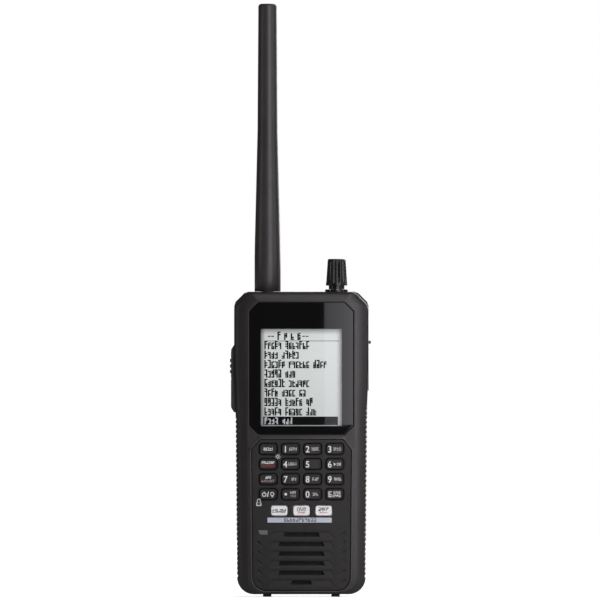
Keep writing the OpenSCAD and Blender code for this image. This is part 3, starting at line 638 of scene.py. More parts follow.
def front_shell():
    """Closed shell: side wall, shoulder band, flat face with the lens recess and the panel opening."""
    bm = bmesh.new()
    silhouette, face = side_outline(), face_outline()
    levels = [(0, SPLIT_Y)] + [(share, FRONT_Y + back) for share, back in BAND]
    rings = [ring(bm, [shoulder_point(o, i, share) for o, i in zip(silhouette, face)], y) for share, y in levels]
    chain(bm, rings)
    recess_y = FRONT_Y + (LENS_HIGH.y - LENS_LOW.y) + LENS_CLEARANCE
    lens_outer, lens_end = beaded_rim(bm, lens_loop(LENS_GAP), FRONT_Y, recess_y)
    window = round_loop(WINDOW_W, WINDOW_H, 3, 8, 0, LENS_Z - WINDOW_DROP)
    window_top = ring(bm, window, recess_y)
    window_end = ring(bm, window, INNER_Y)
    bridge(bm, window_top, window_end)
    fill(bm, [lens_end, window_top])
    # The bead round the panel opening takes the second material, a painted highlight.
    panel_outer, panel_end = beaded_rim(bm, grown(panel_loop(), PANEL_GAP), FRONT_Y, INNER_Y, 1)
    fill(bm, [rings[-1], lens_outer, panel_outer])
    inner_face = shell_inside(bm, silhouette, face, rings[0])
    fill(bm, [inner_face, window_end, panel_end])
    return finished("front_shell", bm, ["casing", "bead_painted_highlight"], BODY, ["front_case"])


TOP_HOLES = {"antenna_jack": 4.6, "volume_knob": 4.4, "earphone_jack": 3.6}
STEM_HOLE_R = 1.4
PAST = 3  # how far a cutter reaches past the wall


def evaluated_mesh(source):
    """The mesh of an object with its modifiers, or of a text."""
    bpy.context.view_layer.update()
    graph = bpy.context.evaluated_depsgraph_get()
    return bpy.data.meshes.new_from_object(source.evaluated_get(graph), depsgraph=graph)


def cut_out(piece, boxes, rods):
    """Cuts boxes (low, high) and round holes (start, end, radius), in millimetres, out of a closed piece."""
    bm = bmesh.new()
    for low, high in boxes:
        low, high = Vector(low) * MM, Vector(high) * MM
        made = bmesh.ops.create_cube(bm, size=1.0)["verts"]
        for v in made:
            v.co = Vector(tuple(low[i] if v.co[i] < 0 else high[i] for i in range(3)))
    for start, end, radius in rods:
        start, end = Vector(start) * MM, Vector(end) * MM
        turn = (end - start).to_track_quat("Z", "Y").to_matrix().to_4x4()
        place = Matrix.Translation((start + end) / 2) @ turn
        bmesh.ops.create_cone(bm, cap_ends=True, segments=40, radius1=radius * MM, radius2=radius * MM,
                              depth=(end - start).length, matrix=place)
    mesh = bpy.data.meshes.new("cutter")
    bm.to_mesh(mesh)
    bm.free()
    cutter = in_scene("cutter", mesh)
    modifier = piece.modifiers.new("cut", "BOOLEAN")
    modifier.object = cutter
    modifier.operation = "DIFFERENCE"
    modifier.solver = "EXACT"
    mesh = evaluated_mesh(piece)
    piece.modifiers.clear()
    piece.data = mesh
    bpy.data.objects.remove(cutter)
    piece.data.set_sharp_from_angle(angle=radians(35))
    even_normals(piece)


def side_cuts():
    """The pocket for the side buttons and the port opening, from the boxes of what sits in them."""
    pod_low, pod_high = box_mm("side_bezel")
    port_low, port_high = box_mm("port_cover")
    pocket = ((-HALF_W - PAST, pod_low.y + 0.6, pod_low.z + 1.2),
              (pod_high.x + 0.2, pod_high.y - 0.6, pod_high.z - 1.2))
    port = ((HALF_W - WALL - 1, port_low.y - 0.2, port_low.z - 0.2),
            (HALF_W + PAST, port_high.y + 0.2, port_high.z + 0.2))
    return [pocket, port]


def top_holes():
    """Holes through the top wall for the antenna jack, the knob's shaft and the earphone jack."""
    rods = []
    for node, radius in TOP_HOLES.items():
        x, y, _ = centre_mm(node)
        rods.append(((x, y, TOP_Z - WALL - PAST), (x, y, TOP_Z + PAST), radius))
    return rods


def stem_holes():
    """Holes from the side pocket into the casing for the stems of the two side buttons."""
    rods = []
    for node in ("function_button", "menu_button"):
        low, high = box_mm(node)
        _, y, z = centre_mm(node)
        rods.append(((low.x - PAST, y, z), (high.x + 2 * PAST, y, z), STEM_HOLE_R))
    return rods


# ---- keypad panel

LOUVRE_W = [18.5, 23.4, 23.4, 23.4, 23.4, 10.9]
LOUVRE_TOP, LOUVRE_PITCH = 31.5, 4.84
TROUGH_D, STROKE_D = 0.45, 0.7
STROKE = [(19.0, -1.2), (20.3, -1.4), (22.4, 1.2), (21.8, 1.7)]
FLOOR_GAP = 0.012


def key_size(name):
    low, high = box_mm(name)
    return high.x - low.x - KEY_FLANGE, high.z - low.z - KEY_FLANGE


def key_hole(name):
    w, h = key_size(name)
    gap, r = (DARK_GAP, DARK_R) if name in DARK_KEYS else (SOFT_GAP, SOFT_R)
    cx, _, cz = centre_mm(name)
    return round_loop(w + 2 * gap, h + 2 * gap, r + gap, 8, cx, cz)


def trough_loop(z):
    half = [(16.4, z - 2.1, 0.3), (14.6, z + 1.35, 0.3)]
    return placed_outline(half, 3)


def opening_loop(z, w):
    half = [(w / 2, z - 1.0, 0.15), (w / 2 - 0.9, z + 1.0, 0.15)]
    return placed_outline(half, 3)


def stroke_loop(z, side):
    """The short slanted groove past the end of each louvre, on one side."""
    corners = [(side * x, z + up, 0.2) for x, up in STROKE[::side]]
    return outline(corners, [0, 0, 0, 0], 3)


def sloped_recess(bm, loop, depth, opening=None):
    """A recess flush at its lower edge and depth deep at its upper edge, with a hole through its floor or not.
    Returns the ring at the face and the ring at the hole's far end."""
    low, high = min(z for _, z in loop), max(z for _, z in loop)

    def floor_y(z, d=0.0):
        return FRONT_Y + d + depth * (z - low) / (high - low)

    rounding = ring(bm, grown(loop, 0.14), FRONT_Y)
    edge = ring_3d(bm, [(x, min(FRONT_Y + 0.1, floor_y(z) + 0.01), z) for x, z in grown(loop, 0.04)])
    floor = ring_3d(bm, [(x, floor_y(z) + FLOOR_GAP, z) for x, z in loop])
    chain(bm, [rounding, edge, floor])
    if not opening:
        fill(bm, [floor])
        return rounding, None
    eased = ring_3d(bm, [(x, floor_y(z) + FLOOR_GAP, z) for x, z in grown(opening, 0.12)])
    lip = ring_3d(bm, [(x, floor_y(z, 0.12), z) for x, z in opening])
    end = ring(bm, opening, INNER_Y)
    chain(bm, [eased, lip, end])
    fill(bm, [floor, eased])
    return rounding, end


def keypad_panel():
    """The panel with its key holes, louvres and side strokes, as a closed plate."""
    bm = bmesh.new()
    edges = [rim(bm, panel_loop(), FRONT_Y, 0.3, INNER_Y, PLATE)]
    edges += [rim(bm, key_hole(name), FRONT_Y, 0.22, INNER_Y) for name in DARK_KEYS + SOFT_KEYS]
    for i, w in enumerate(LOUVRE_W):
        z = LOUVRE_TOP - i * LOUVRE_PITCH
        edges.append(sloped_recess(bm, trough_loop(z), TROUGH_D, opening_loop(z, w)))
        edges += [sloped_recess(bm, stroke_loop(z, side), STROKE_D) for side in (-1, 1)]
    fill(bm, [front for front, _ in edges])
    fill(bm, [back for _, back in edges if back])
    even_normals(finished("keypad_panel", bm, ["panel"], BODY))


def speaker_cloth():
    """Cloth behind the louvres, flat against the panel's back."""
    bm = bmesh.new()
    prism(bm, round_loop(34, 29, 3, 6, 0, 19.4), INNER_Y + 0.02, INNER_Y + 0.18)
    finished("speaker_cloth", bm, ["cloth"], BODY)


# ---- keys

KEY_PROFILE = [(0.0, 0.7), (0.03, 0.5), (0.1, 0.3), (0.22, 0.14), (0.38, 0.04), (0.55, 0.0)]
KEY_DISH = [(0.62, 0.03), (1.0, 0.05), (1.4, 0.07)]
PLUNGER_R = 1.5


def key_slot(name):
    return "dark_key" if name in DARK_KEYS else "white_key"


def key_cap(name, radius, side_mat, top_mat):
    """A key: rounded cap with a slightly dished top, its retaining flange and plunger."""
    low, high = box_mm(name)
    cx, _, cz = centre_mm(name)
    w, h = key_size(name)
    loop = round_loop(w, h, radius, 8, cx, cz)
    bm = bmesh.new()
    flange_front, flange_back = INNER_Y + 0.05, INNER_Y + 0.75
    lip = grown(loop, KEY_FLANGE / 2)
    rings = [ring(bm, lip, flange_back), ring(bm, lip, flange_front), ring(bm, loop, flange_front)]
    rings += [ring(bm, grown(loop, -inset), low.y + back) for inset, back in KEY_PROFILE]
    dish = [ring(bm, grown(loop, -min(inset, radius - 0.05)), low.y + back) for inset, back in KEY_DISH]
    chain(bm, rings)
    chain(bm, rings[-1:] + dish, 1)
    fill(bm, [dish[-1]], 1)
    plunger = circle_loop(cx, cz, PLUNGER_R, 24)
    top, end = ring(bm, plunger, flange_back), ring(bm, plunger, high.y)
    fill(bm, [rings[0], top])
    bridge(bm, top, end)
    fill(bm, [end])
    even_normals(finished(name + "_cap", bm, [side_mat, top_mat], name + "_body", [name], 40))


# ---- printed marks

INK_D = 0.03


class Marks:
    """Thin printed marks on a surface, gathered into one piece."""

    def __init__(self, y):
        self.bm = bmesh.new()
        self.front, self.back = y - INK_D, y + INK_D

    def loop(self, loop):
        prism(self.bm, loop, self.front, self.back)

    def bar(self, x0, x1, z0, z1, lean=0.0):
        self.loop([(x0, z0), (x1, z0), (x1 + lean, z1), (x0 + lean, z1)])

    def band(self, outer, inner):
        """A closed stroke between two loops with the same number of points."""
        rings = [ring(self.bm, outer, self.front), ring(self.bm, inner, self.front),
                 ring(self.bm, inner, self.back), ring(self.bm, outer, self.back)]
        chain(self.bm, rings + rings[:1])

    def piece(self, name, mat, body=BODY, slot="casing"):
        finished(name, self.bm, [mat], body)


DIGITS = {f"key_{n}": str(n) for n in range(10)}
DIGIT_H, DIGIT_NARROWED = 3.2, 0.92
CAP_HEIGHT = 0.7  # of the built-in font, as a share of its size
BOLD = 0.011


def digit(text, x, z, y, name, body):
    """A numeral as a thin flat piece whose lower left corner is at x, z."""
    curve = bpy.data.curves.new(name + "_text", "FONT")
    curve.body = text
    curve.size = DIGIT_H * MM / CAP_HEIGHT
    curve.extrude = INK_D * MM
    curve.offset = DIGIT_H * BOLD * MM
    curve.resolution_u = 5
    source = in_scene(name + "_text", curve)
    mesh = evaluated_mesh(source)
    bpy.data.objects.remove(source)
    mesh.transform(Matrix.Translation((x * MM, y * MM, z * MM)) @ Matrix.Rotation(radians(90), 4, "X")
                   @ Matrix.Diagonal((DIGIT_NARROWED, 1, 1, 1)))
    mesh.materials.clear()
    mesh.materials.append(MATS["white"])
    new_object(name, mesh, body)


def circle_loop(cx, cz, r, n=20):
    turns = [2 * pi * i / n for i in range(n)]
    return [(cx + r * cos(turn), cz + r * sin(turn)) for turn in turns]


def glyph(marks, rng, x, z, w, h, lean=0.0, weight=0.32):
    """A block-built shape about the size of a letter that isn't one: a stem with short bars off it."""
    stroke = w * weight
    turned = rng.random() < 0.5
    stem = x + w - stroke if turned else x
    marks.bar(stem, stem + stroke, z, z + h, lean)
    arm0, arm1 = (x, stem) if turned else (stem + stroke, x + w)
    for height in rng.sample((0.0, 0.28, 0.56, 0.86), rng.choice((2, 2, 3))):
        shift = lean * height
        marks.bar(arm0 + shift, arm1 + shift, z + h * height, z + h * height + stroke * 0.95)
    if rng.random() < 0.4:
        far = x if turned else x + w - stroke
        low = rng.choice((0.0, 0.35))
        marks.bar(far + lean * low, far + stroke + lean * low, z + h * low, z + h * (low + 0.5), lean * 0.5)


def word(marks, rng, x0, x1, z0, z1, count, lean=0.0):
    """A row of letter-sized marks that spells nothing, from x0 to x1."""
    pitch = (x1 - x0) / count
    for i in range(count):
        glyph(marks, rng, x0 + i * pitch, z0, pitch * 0.8, z1 - z0, lean)


# Rows of marks on each key: ink, left, right, bottom and top from the key's middle, count, lean
FIRST_ROW_LABEL = ("label", -0.6, 3.4, -0.75, 0.85, 5, 0)
SOFT_KEY_LOWER_ROW = ("bright_red", -1.9, 1.8, -1.25, -0.45, 6, 0.1)
KEY_WORDS = {
    "key_func": [("white", -2.5, 2.3, -0.75, 0.8, 5, 0.25)],
    "key_1": [FIRST_ROW_LABEL], "key_2": [FIRST_ROW_LABEL], "key_3": [FIRST_ROW_LABEL],
    "key_scan": [("white", -3.3, 3.2, 0.15, 1.35, 6, 0.15)],
    "key_4": [("label", -0.9, 3.2, -0.7, 0.85, 5, 0)],
    "key_6": [("label", 1.0, 3.4, -0.7, 0.85, 2, 0)],
    "key_hold": [("white", -1.4, 1.5, 0.2, 1.5, 3, 0.2),
                 ("pink", -3.3, 3.3, -1.4, -0.3, 8, 0.15)],
    "key_7": [("label", 0.7, 3.1, -0.75, 0.8, 3, 0)],
    "key_8": [("label", 0.0, 3.2, -0.75, 0.8, 3, 0)],
    "key_9": [("label", -0.3, 3.6, -0.75, 0.8, 4, 0)],
    "key_dot": [("label", 0.0, 2.9, 0.3, 1.5, 3, 0), ("pink", 0.2, 2.9, -1.4, -0.2, 3, 0)],
    "key_0": [("label", 0.0, 3.0, -0.75, 0.75, 3, 0)],
    "key_enter": [("label", -0.7, 3.2, 0.2, 1.4, 3, 0), ("white", -2.0, 3.2, -1.4, -0.2, 5, 0)],
    "soft_key_left": [("dark", -3.5, 3.3, -0.95, 0.9, 6, 0.3)],
    "soft_key_middle": [("dark", -2.3, 2.2, -0.15, 1.6, 4, 0.35), SOFT_KEY_LOWER_ROW],
    "soft_key_right": [("dark", -2.6, 2.5, -0.15, 1.6, 4, 0.35), SOFT_KEY_LOWER_ROW],
}


def key_signs(name, marks, cx, cz):
    """The plain signs on the keys that carry no digit."""
    if name == "key_light":
        marks.band(circle_loop(cx - 2.0, cz - 0.1, 1.1), circle_loop(cx - 2.0, cz - 0.1, 0.78))
        marks.bar(cx - 2.16, cx - 1.84, cz + 0.1, cz + 1.4)
        marks.bar(cx - 0.6, cx - 0.2, cz - 1.3, cz + 1.3, 0.6)
        marks.band(circle_loop(cx + 2.1, cz + 0.15, 1.0), circle_loop(cx + 2.1, cz + 0.15, 0.68))
        marks.bar(cx + 1.65, cx + 2.55, cz - 1.4, cz - 1.05)
    elif name == "key_dot":
        marks.loop(circle_loop(cx - 2.3, cz, 0.68))
    elif name == "key_enter":
        marks.bar(cx - 3.1, cx - 2.7, cz - 1.4, cz + 1.4)
        for low in (-1.4, -0.18, 1.05):
            marks.bar(cx - 2.7, cx - 1.9 if low < 1 else cx - 1.5, cz + low, cz + low + 0.36)
    elif name == "key_6":
        marks.loop([(cx - 0.6, cz - 0.9), (cx + 0.6, cz), (cx - 0.6, cz + 0.9), (cx - 0.2, cz)])


def key_legends():
    rng = random.Random(7)
    for name in DARK_KEYS + SOFT_KEYS:
        cx, _, cz = centre_mm(name)
        y, body = box_mm(name)[0].y + 0.04, name + "_body"
        slot = key_slot(name)
        if name in DIGITS:
            digit(DIGITS[name], cx - 3.5, cz - DIGIT_H / 2, y, name + "_digit", body)
        for row, (mat, x0, x1, z0, z1, count, lean) in enumerate(KEY_WORDS.get(name, ())):
            marks = Marks(y)
            word(marks, rng, cx + x0, cx + x1, cz + z0, cz + z1, count, lean)
            marks.piece(f"{name}_label_{row}", mat, body, slot)
        if name in ("key_light", "key_dot", "key_enter", "key_6"):
            marks = Marks(y)
            key_signs(name, marks, cx, cz)
            marks.piece(name + "_sign", "white", body, slot)
        if name == "key_scan":
            marks = Marks(y)
            marks.loop(round_loop(6.6, 1.15, 0.3, 4, cx, cz - 0.8))
            marks.piece(name + "_strip", "red", body, slot)


def panel_marks():
    """The pale label bar under the white keys, the small sun and lock marks, and the inlay by the louvres."""
    y = FRONT_Y
    bar = Marks(y)
    bar.loop(round_loop(32.4, 2.5, 0.2, 3, -0.9, 38.85))
    bar.piece("label_bar", "blue")
    rng = random.Random(11)
    words = Marks(y - 0.04)
    word(words, rng, -8.8, 7.8, 37.95, 39.8, 11)
    words.piece("label_bar_marks", "slate")
    sx, sz = -11.9, 70.9
    sun = Marks(y)
    sun.band(circle_loop(sx, sz, 0.78, 16), circle_loop(sx, sz, 0.42, 16))
    for i in range(8):
        a = radians(45 * i)
        sun.loop(circle_loop(sx + 1.2 * cos(a), sz + 1.2 * sin(a), 0.2, 8))
    sun.piece("sun_mark", "label")
    lx = -21.5
    lock = Marks(y)
    lock.band(round_loop(2.7, 1.9, 0.3, 3, lx, 46.9), round_loop(1.5, 0.8, 0.2, 3, lx, 46.9))
    lock.band(round_loop(1.9, 2.4, 0.9, 5, lx, 48.5), round_loop(1.1, 1.6, 0.5, 5, lx, 48.5))
    lock.piece("lock_mark", "label")
    inlay = Marks(y)
    inlay.loop([(-20.9, 31.5), (-17.1, 31.5), (-17.1, 33.7), (-22.0, 33.7)])
    inlay.piece("louvre_inlay", "grey")


# ---- display

LCD_W, LCD_H = 41.0, 49.1
LCD_ROWS, LCD_ROW_PITCH = (13, 10, 18, 9, 13, 12, 14, 15), 4.78
LCD_Y, LCD_Z = box_mm("lcd_panel")[0].y, centre_mm("lcd_panel")[2]


def display_lens():
    """A polished lens with an eased edge. Its window is clear and the rest is black."""
    bm = bmesh.new()
    face, back = rim(bm, lens_loop(0), LENS_LOW.y, 0.25, LENS_HIGH.y, PLATE)
    window = round_loop(LCD_W, LCD_H, 0.3, 3, 0, LCD_Z)
    front_window = ring(bm, window, LENS_LOW.y)
    back_window = ring(bm, window, LENS_HIGH.y)
    fill(bm, [face, front_window])
    fill(bm, [back, back_window])
    fill(bm, [front_window], 1)
    fill(bm, [back_window], 1)
    even_normals(finished("polished_lens", bm, ["lens_black", "lens_window"], BODY, ["display_lens"]))


def glyph_row(marks, rng, x, z, count, w, h, pitch):
    """A row of up to count letter-like shapes with gaps between groups."""
    gap_at = rng.choice((5, 6, 7))
    for i in range(count):
        if i and i % gap_at == gap_at - 1 and i < count - 2:
            continue
        tall = h if i == 0 or rng.random() < 0.4 else h * 0.8
        glyph(marks, rng, x + i * pitch, z, w, tall, 0.0, 0.46)


def lcd_text():
    """Header, rule, rows of letter-like marks, and an inverse bar at the foot of the display."""
    rng = random.Random(3)
    y = LCD_Y - 0.01
    left, bottom = -LCD_W / 2, LCD_Z - LCD_H / 2
    marks = Marks(y)
    glyph_row(marks, rng, left + 8.4, bottom + 43.5, 4, 1.6, 4.2, 3.35)
    for x in (left + 3.5, left + 20.9):
        marks.bar(x, x + 1.4, bottom + 45.1, bottom + 45.6)
        marks.bar(x + 1.8, x + 3.2, bottom + 45.1, bottom + 45.6)
    marks.bar(left + 1.8, left + 39.6, bottom + 42.9, bottom + 43.15)
    for i, count in enumerate(LCD_ROWS):
        glyph_row(marks, rng, left + 1.8, bottom + 38.8 - i * LCD_ROW_PITCH, count, 1.5, 4.15, 1.76)
    bar_z = bottom + 0.5
    marks.bar(left + 1.2, left + 39.0, bar_z, bar_z + 4.3)
    marks.piece("lcd_marks", "lcd_dots", slot="lcd")
    inverse = Marks(y - 0.04)
    glyph_row(inverse, rng, left + 1.9, bar_z + 0.4, 8, 1.35, 3.4, 1.8)
    inverse.piece("lcd_inverse_marks", "white", slot="lcd")


# ---- turned pieces

def lathe(bm, profile, cx, cy, segments, shape=None, capped=True):
    """Spins (radius, z) points about a vertical axis. shape(angle, radius, z) may change the radius, and capped
    closes the last ring."""
    rings = []
    for r, z in profile:
        angles = [2 * pi * i / segments for i in range(segments)]
        spun = [(a, shape(a, r, z) if shape else r) for a in angles]
        rings.append(ring_3d(bm, [(cx + out * cos(a), cy + out * sin(a), z) for a, out in spun]))
    chain(bm, rings)
    if capped:
        bm.faces.new(rings[-1])


def slope(r0, z0, r1, z1, shares):
    """Points of a profile at shares of the way from (r0, z0) to (r1, z1)."""
    return [(r0 + (r1 - r0) * share, z0 + (z1 - z0) * share) for share in shares]


TAPER_R, TIP_R, TIP_ROUND = 5.1, 4.7, 1.6
BASE_L, TAPER_TOP = 19.5, 236.0
WHIP_BORE = [(3.2, 161.0), (2.08, 161.0), (2.08, 166.2)]


def antenna():
    """The whip's rubber sheath: straight base, long taper and a softly rounded tip, with a bore for the jack."""
    cx, cy, _ = centre_mm("antenna_whip")
    base_r = (WHIP_HIGH.x - WHIP_LOW.x) / 2
    z0, top = WHIP_LOW.z, WHIP_HIGH.z
    base_top, round_z = z0 + BASE_L, top - TIP_ROUND
    bore_r = WHIP_BORE[0][0]
    profile = [(bore_r, z0), (base_r - 0.1, z0), (base_r, z0 + 0.1), (base_r, base_top - 1.5),
               (base_r - 0.06, base_top)]
    profile += slope(base_r, base_top, TAPER_R, TAPER_TOP, [i / 24 for i in range(1, 25)])
    profile += slope(TAPER_R, TAPER_TOP, TIP_R, round_z, (0.25, 0.5, 0.75, 1))
    for a in map(radians, (15, 30, 45, 60, 75, 90)):
        profile.append((TIP_R - TIP_ROUND + TIP_ROUND * cos(a), round_z + TIP_ROUND * sin(a)))
    profile.append((1.2, top))
    bm = bmesh.new()
    lathe(bm, profile, cx, cy, 72)
    lathe(bm, [(bore_r, z0)] + WHIP_BORE, cx, cy, 72)
    finished("whip_sheath", bm, ["antenna"], "antenna_body", ["antenna_whip"], 50)


FLUTES, FLUTE_D = 14, 0.55
SKIRT_H, KNOB_TOP_R = 1.8, 4.7


def flute(angle, radius, z):
    """The knob's fluted side: rounded ribs with narrow valleys, fading at both ends."""
    low, high = KNOB_LOW.z + SKIRT_H + 1.1, KNOB_HIGH.z - 0.5
    fade = min(1.0, max(0.0, (z - low) / 0.8)) * min(1.0, max(0.0, (high - z) / 0.9 + 0.25))
    wave = 0.5 + 0.5 * cos(FLUTES * angle)
    return radius - FLUTE_D * fade * wave ** 2.2


def knob():
    """The fluted knob on its smooth skirt, with a bore for the shaft."""
    cx, cy, _ = centre_mm("volume_knob")
    z0, top = KNOB_LOW.z, KNOB_HIGH.z
    r, top_r = (KNOB_HIGH.x - KNOB_LOW.x) / 2, KNOB_TOP_R
    skirt = z0 + SKIRT_H
    profile = [(3.0, z0), (4.05, z0), (4.05, skirt), (r - 0.15, skirt), (r, skirt + 0.15), (r, skirt + 0.9)]
    profile += slope(r - 0.05, skirt + 0.9, top_r - 0.05, top - 0.8, [i / 12 for i in range(1, 13)])
    profile += [(top_r - 0.15, top - 0.4), (top_r - 0.45, top - 0.12), (top_r - 0.9, top), (top_r - 1.2, top),
                (top_r - 1.35, top - 0.18), (1.0, top - 0.22)]
    bm = bmesh.new()
    lathe(bm, profile, cx, cy, FLUTES * 14, flute)
    lathe(bm, [(3.0, z0), (3.0, top - 2.3)], cx, cy, FLUTES * 14)
    finished("fluted_knob", bm, ["knob"], "knob_body", ["volume_knob"], 40)


def knob_collar():
    low, high = box_mm("knob_collar")
    cx, cy, _ = centre_mm("knob_collar")
    r = (high.x - low.x) / 2
    profile = [(4.4, low.z), (r, low.z), (r, high.z - 0.35), (r - 0.1, high.z - 0.1), (r - 0.35, high.z),
               (4.7, high.z), (4.4, high.z - 0.3), (4.4, low.z)]
    bm = bmesh.new()
    lathe(bm, profile, cx, cy, 64, capped=False)
    finished("turned_collar", bm, ["knob"], BODY, ["knob_collar"], 40)


# ---- CAD nodes that stay

def dress(node, mat, bevel):
    """Gives a CAD node its material, and eased edges where bevel is more than 0 (millimetres)."""
    piece = NODES[node]
    piece.data.materials.clear()
    piece.data.materials.append(MATS[mat])
    if bevel:
        flat = piece.modifiers.new("flat", "DECIMATE")
        flat.decimate_type = "DISSOLVE"
        flat.angle_limit = radians(0.5)
        ease = piece.modifiers.new("ease", "BEVEL")
        ease.width = bevel * MM
        ease.segments = 2
        ease.limit_method = "ANGLE"
        ease.angle_limit = radians(35)
        normals = piece.modifiers.new("normals", "WEIGHTED_NORMAL")
        normals.keep_sharp = True


CROSS_ARM, CROSS_W = 1.4, 0.3
LONG_SCREWS_X, UPPER_SCREWS_Z = 20, 110


def screw_crosses():
    """Dark cross recesses on the heads of the four long screws, found from the screws' own mesh."""
    piece = NODES["screws"]
    points = [piece.matrix_world @ v.co / MM for v in piece.data.vertices]
    heads = [p for p in points if abs(p.x) > LONG_SCREWS_X]
    top = max(p.y for p in heads)
    a, w = CROSS_ARM, CROSS_W
    cross = [(w, a), (-w, a), (-w, w), (-a, w), (-a, -w), (-w, -w), (-w, -a), (w, -a), (w, -w), (a, -w), (a, w),
             (w, w)]
    bm = bmesh.new()
    for side in (-1, 1):
        for upper in (False, True):
            head = [(p.x, p.z) for p in heads
                    if p.x * side > 0 and (p.z > UPPER_SCREWS_Z) == upper and p.y > top - 0.05]
            cx, cz = ((min(axis) + max(axis)) / 2 for axis in zip(*head))
            prism(bm, [(cx + x, cz + z) for x, z in cross], top - 0.2, top + 0.03)
    finished("screw_crosses", bm, ["dark"], BODY)


# The CAD nodes that keep their shape, by material, with the width of their eased edges
FRAME_LOOKS = {
    "casing": {"rear_case": 0.3, "side_bezel": 0.4, "battery_door": 0.25},
    "rubber": {"base_feet": 0.3, "lens_gasket": 0, "port_cover": 0.2, "function_button": 0.3,
               "menu_button": 0.4},
    "lcd": {"lcd_panel": 0},
    "white_plastic": {"lcd_holder": 0.2, "antenna_plug": 0.1, "encoder_plunger": 0.1, "side_switches": 0.1},
    "silicone": {"keypad_mat": 0.1}, "dome_film": {"dome_sheet": 0}, "board": {"main_board": 0},
    "chip": {"board_chips": 0.1, "memory_card": 0.08},
    "tin": {"rf_shield": 0.15, "speaker_basket": 0, "encoder_body": 0.2, "usb_socket": 0.1,
            "card_socket": 0.08},
    "paper": {"speaker_cone": 0}, "magnet": {"speaker_magnet": 0.2}, "brass": {"antenna_jack": 0},
    "steel": {"knob_shaft": 0.15, "battery_contacts": 0, "clip_pin": 0.15, "clip_spring": 0, "screws": 0.2},
    "knob": {"earphone_jack": 0.15}, "cell": {"battery_cells": 0.3},
    "clip": {"clip_bracket": 0.25, "belt_clip": 0.4},
}


def dress_frame():
    for mat, nodes in FRAME_LOOKS.items():
        for node, bevel in nodes.items():
            dress(node, mat, bevel)
    screw_crosses()


# ---- stage, light and camera

# In metres, but for the sensor. LENS_EDGE is where the camera sees the card's left edge and step in the lens.
CAMERA_DISTANCE, VIEW_WIDTH, SENSOR_WIDTH = 6.0, 0.303, 36
VIEW_CENTRE = (-0.0007, 0.15)
FLOOR_R, FLOOR_DROP = 1.4, 0.0002
FLOOR_GLOW, FLOOR_BOUNCE = 0.75, (0.7, 0.7, 0.7, 1)
SKY_COLOR, SKY_LIGHT = (1, 0.98, 0.97, 1), 0.09
LENS_EDGE_X, LENS_EDGE_Z = 0.0116, 0.0868
CARD_DISTANCE, CARD_WIDTH, CARD_TOP, CARD_GLOW = 0.26, 0.2, 0.55, 2.6
LIT_POINT = (0, 0, 0.12)


def floor_material():
    """White paper to the eye. It throws back less light than it shows, so the dark casing keeps its depth."""
    mat, shader = principled("floor_paper", (0.88, 0.88, 0.88), 0.8)
    tune(shader, {"Emission Color": (1, 1, 1, 1), "Emission Strength": FLOOR_GLOW})
    uneven_gloss(mat, shader, noise(mat, 8.0), 0.75, 0.85)
    bounce = add(mat, "BsdfDiffuse", Color=FLOOR_BOUNCE)
    blended_surface(mat, add(mat, "LightPath").outputs["Is Camera Ray"], bounce, shader)
    return mat


def stage():
    bpy.ops.mesh.primitive_circle_add(vertices=96, radius=FLOOR_R, fill_type="NGON",
                                      location=(0, 0, -FLOOR_DROP))
    floor = bpy.context.object
    floor.name = "floor"
    floor.data.materials.append(floor_material())


def area_light(name, place, size_x, size_y, radiance):
    """A soft box facing the scanner. radiance is what a mirror would show of it."""
    data = bpy.data.lights.new(name, "AREA")
    data.shape = "RECTANGLE"
    data.size, data.size_y = size_x, size_y
    data.energy = radiance * pi * size_x * size_y
    lamp = in_scene(name, data)
    lamp.location = place
    lamp.rotation_euler = (Vector(LIT_POINT) - Vector(place)).to_track_quat("-Z", "Y").to_euler()
    lamp.visible_camera = False


def world():
    """White to the camera, and a faint even light to everything else."""
    sky = bpy.data.worlds.new("studio")
    bpy.context.scene.world = sky
    sky.use_nodes = True
    seen = sky.node_tree.nodes["Background"]
    tune(seen, {"Color": (1, 1, 1, 1), "Strength": 1.0})
    lit = add(sky, "Background", Color=SKY_COLOR, Strength=SKY_LIGHT)
    blended_surface(sky, add(sky, "LightPath").outputs["Is Camera Ray"], lit, seen)


def card_material():
    """The card's glow, a little stronger away from its left edge."""
    mat, shader = principled("card_glow", (1, 1, 1), 0.5)
    mat.node_tree.nodes.remove(shader)
    glow = add(mat, "Emission", Strength=CARD_GLOW)
    tone = ramp(mat, spread(mat), "X", [(0, (0.5, 0.485, 0.53)), (0.14, (1.06, 1.03, 1.1))])
    link(tone, "Color", glow, "Color")
    surface(mat, glow)
    return mat


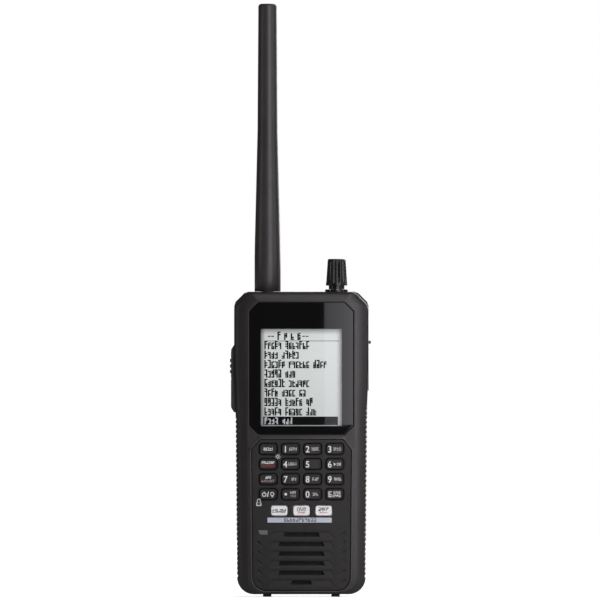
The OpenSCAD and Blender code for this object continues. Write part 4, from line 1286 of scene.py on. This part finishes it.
def front_card():
    """A big soft card to the right of the camera's line. The lens shows its left edge and the step low in it."""
    y = -CARD_DISTANCE
    edge = LENS_EDGE_X + (LENS_EDGE_X - VIEW_CENTRE[0]) * CARD_DISTANCE / CAMERA_DISTANCE
    step = LENS_EDGE_Z + (LENS_EDGE_Z - VIEW_CENTRE[1]) * CARD_DISTANCE / CAMERA_DISTANCE
    low, x1, z0, z1 = LENS_HIGH.x * MM + 0.003, edge + CARD_WIDTH, 0.003, CARD_TOP
    corners = [(low, z0), (x1, z0), (x1, step), (low, step), (edge, step), (x1, z1), (edge, z1)]
    mesh = bpy.data.meshes.new("front_card")
    mesh.from_pydata([(x, y, z) for x, z in corners], [], [(0, 1, 2, 3), (4, 3, 2, 5, 6)])
    mesh.materials.append(card_material())
    card = in_scene("front_card", mesh)
    card.visible_camera = False
    card.visible_shadow = False


def lights():
    world()
    front_card()
    area_light("right_box", (1.0, -0.38, 0.3), 0.22, 0.9, 1.85)
    area_light("left_box", (-1.2, -0.45, 0.35), 0.3, 1.0, 1.2)
    area_light("top_box", (0.35, -0.45, 1.35), 1.2, 0.45, 1.7)
    area_light("rear_box", (0.55, 1.25, 0.6), 1.1, 1.0, 3.0)


def camera():
    data = bpy.data.cameras.new("camera")
    data.sensor_width = SENSOR_WIDTH
    data.lens = SENSOR_WIDTH * CAMERA_DISTANCE / VIEW_WIDTH
    data.clip_start, data.clip_end = 0.1, 100
    cam = in_scene("camera", data)
    cam.location = (VIEW_CENTRE[0], -CAMERA_DISTANCE + FRONT_Y * MM, VIEW_CENTRE[1])
    cam.rotation_euler = (radians(90), 0, 0)
    bpy.context.scene.camera = cam
    bpy.context.scene.view_settings.view_transform = "Standard"


# ---- build

camera()
lights()
stage()
dress_frame()
shell = front_shell()
cut_out(shell, side_cuts(), top_holes())
cut_out(shell, [], stem_holes())
keypad_panel()
speaker_cloth()
# Dark keys take painted shade on their rounded sides through their side material.
for key in DARK_KEYS:
    key_cap(key, DARK_R, "key_side_painted_shade", "key_top")
for key in SOFT_KEYS:
    key_cap(key, SOFT_R, "white_key", "white_key")
key_legends()
panel_marks()
display_lens()
lcd_text()
antenna()
knob()
knob_collar()
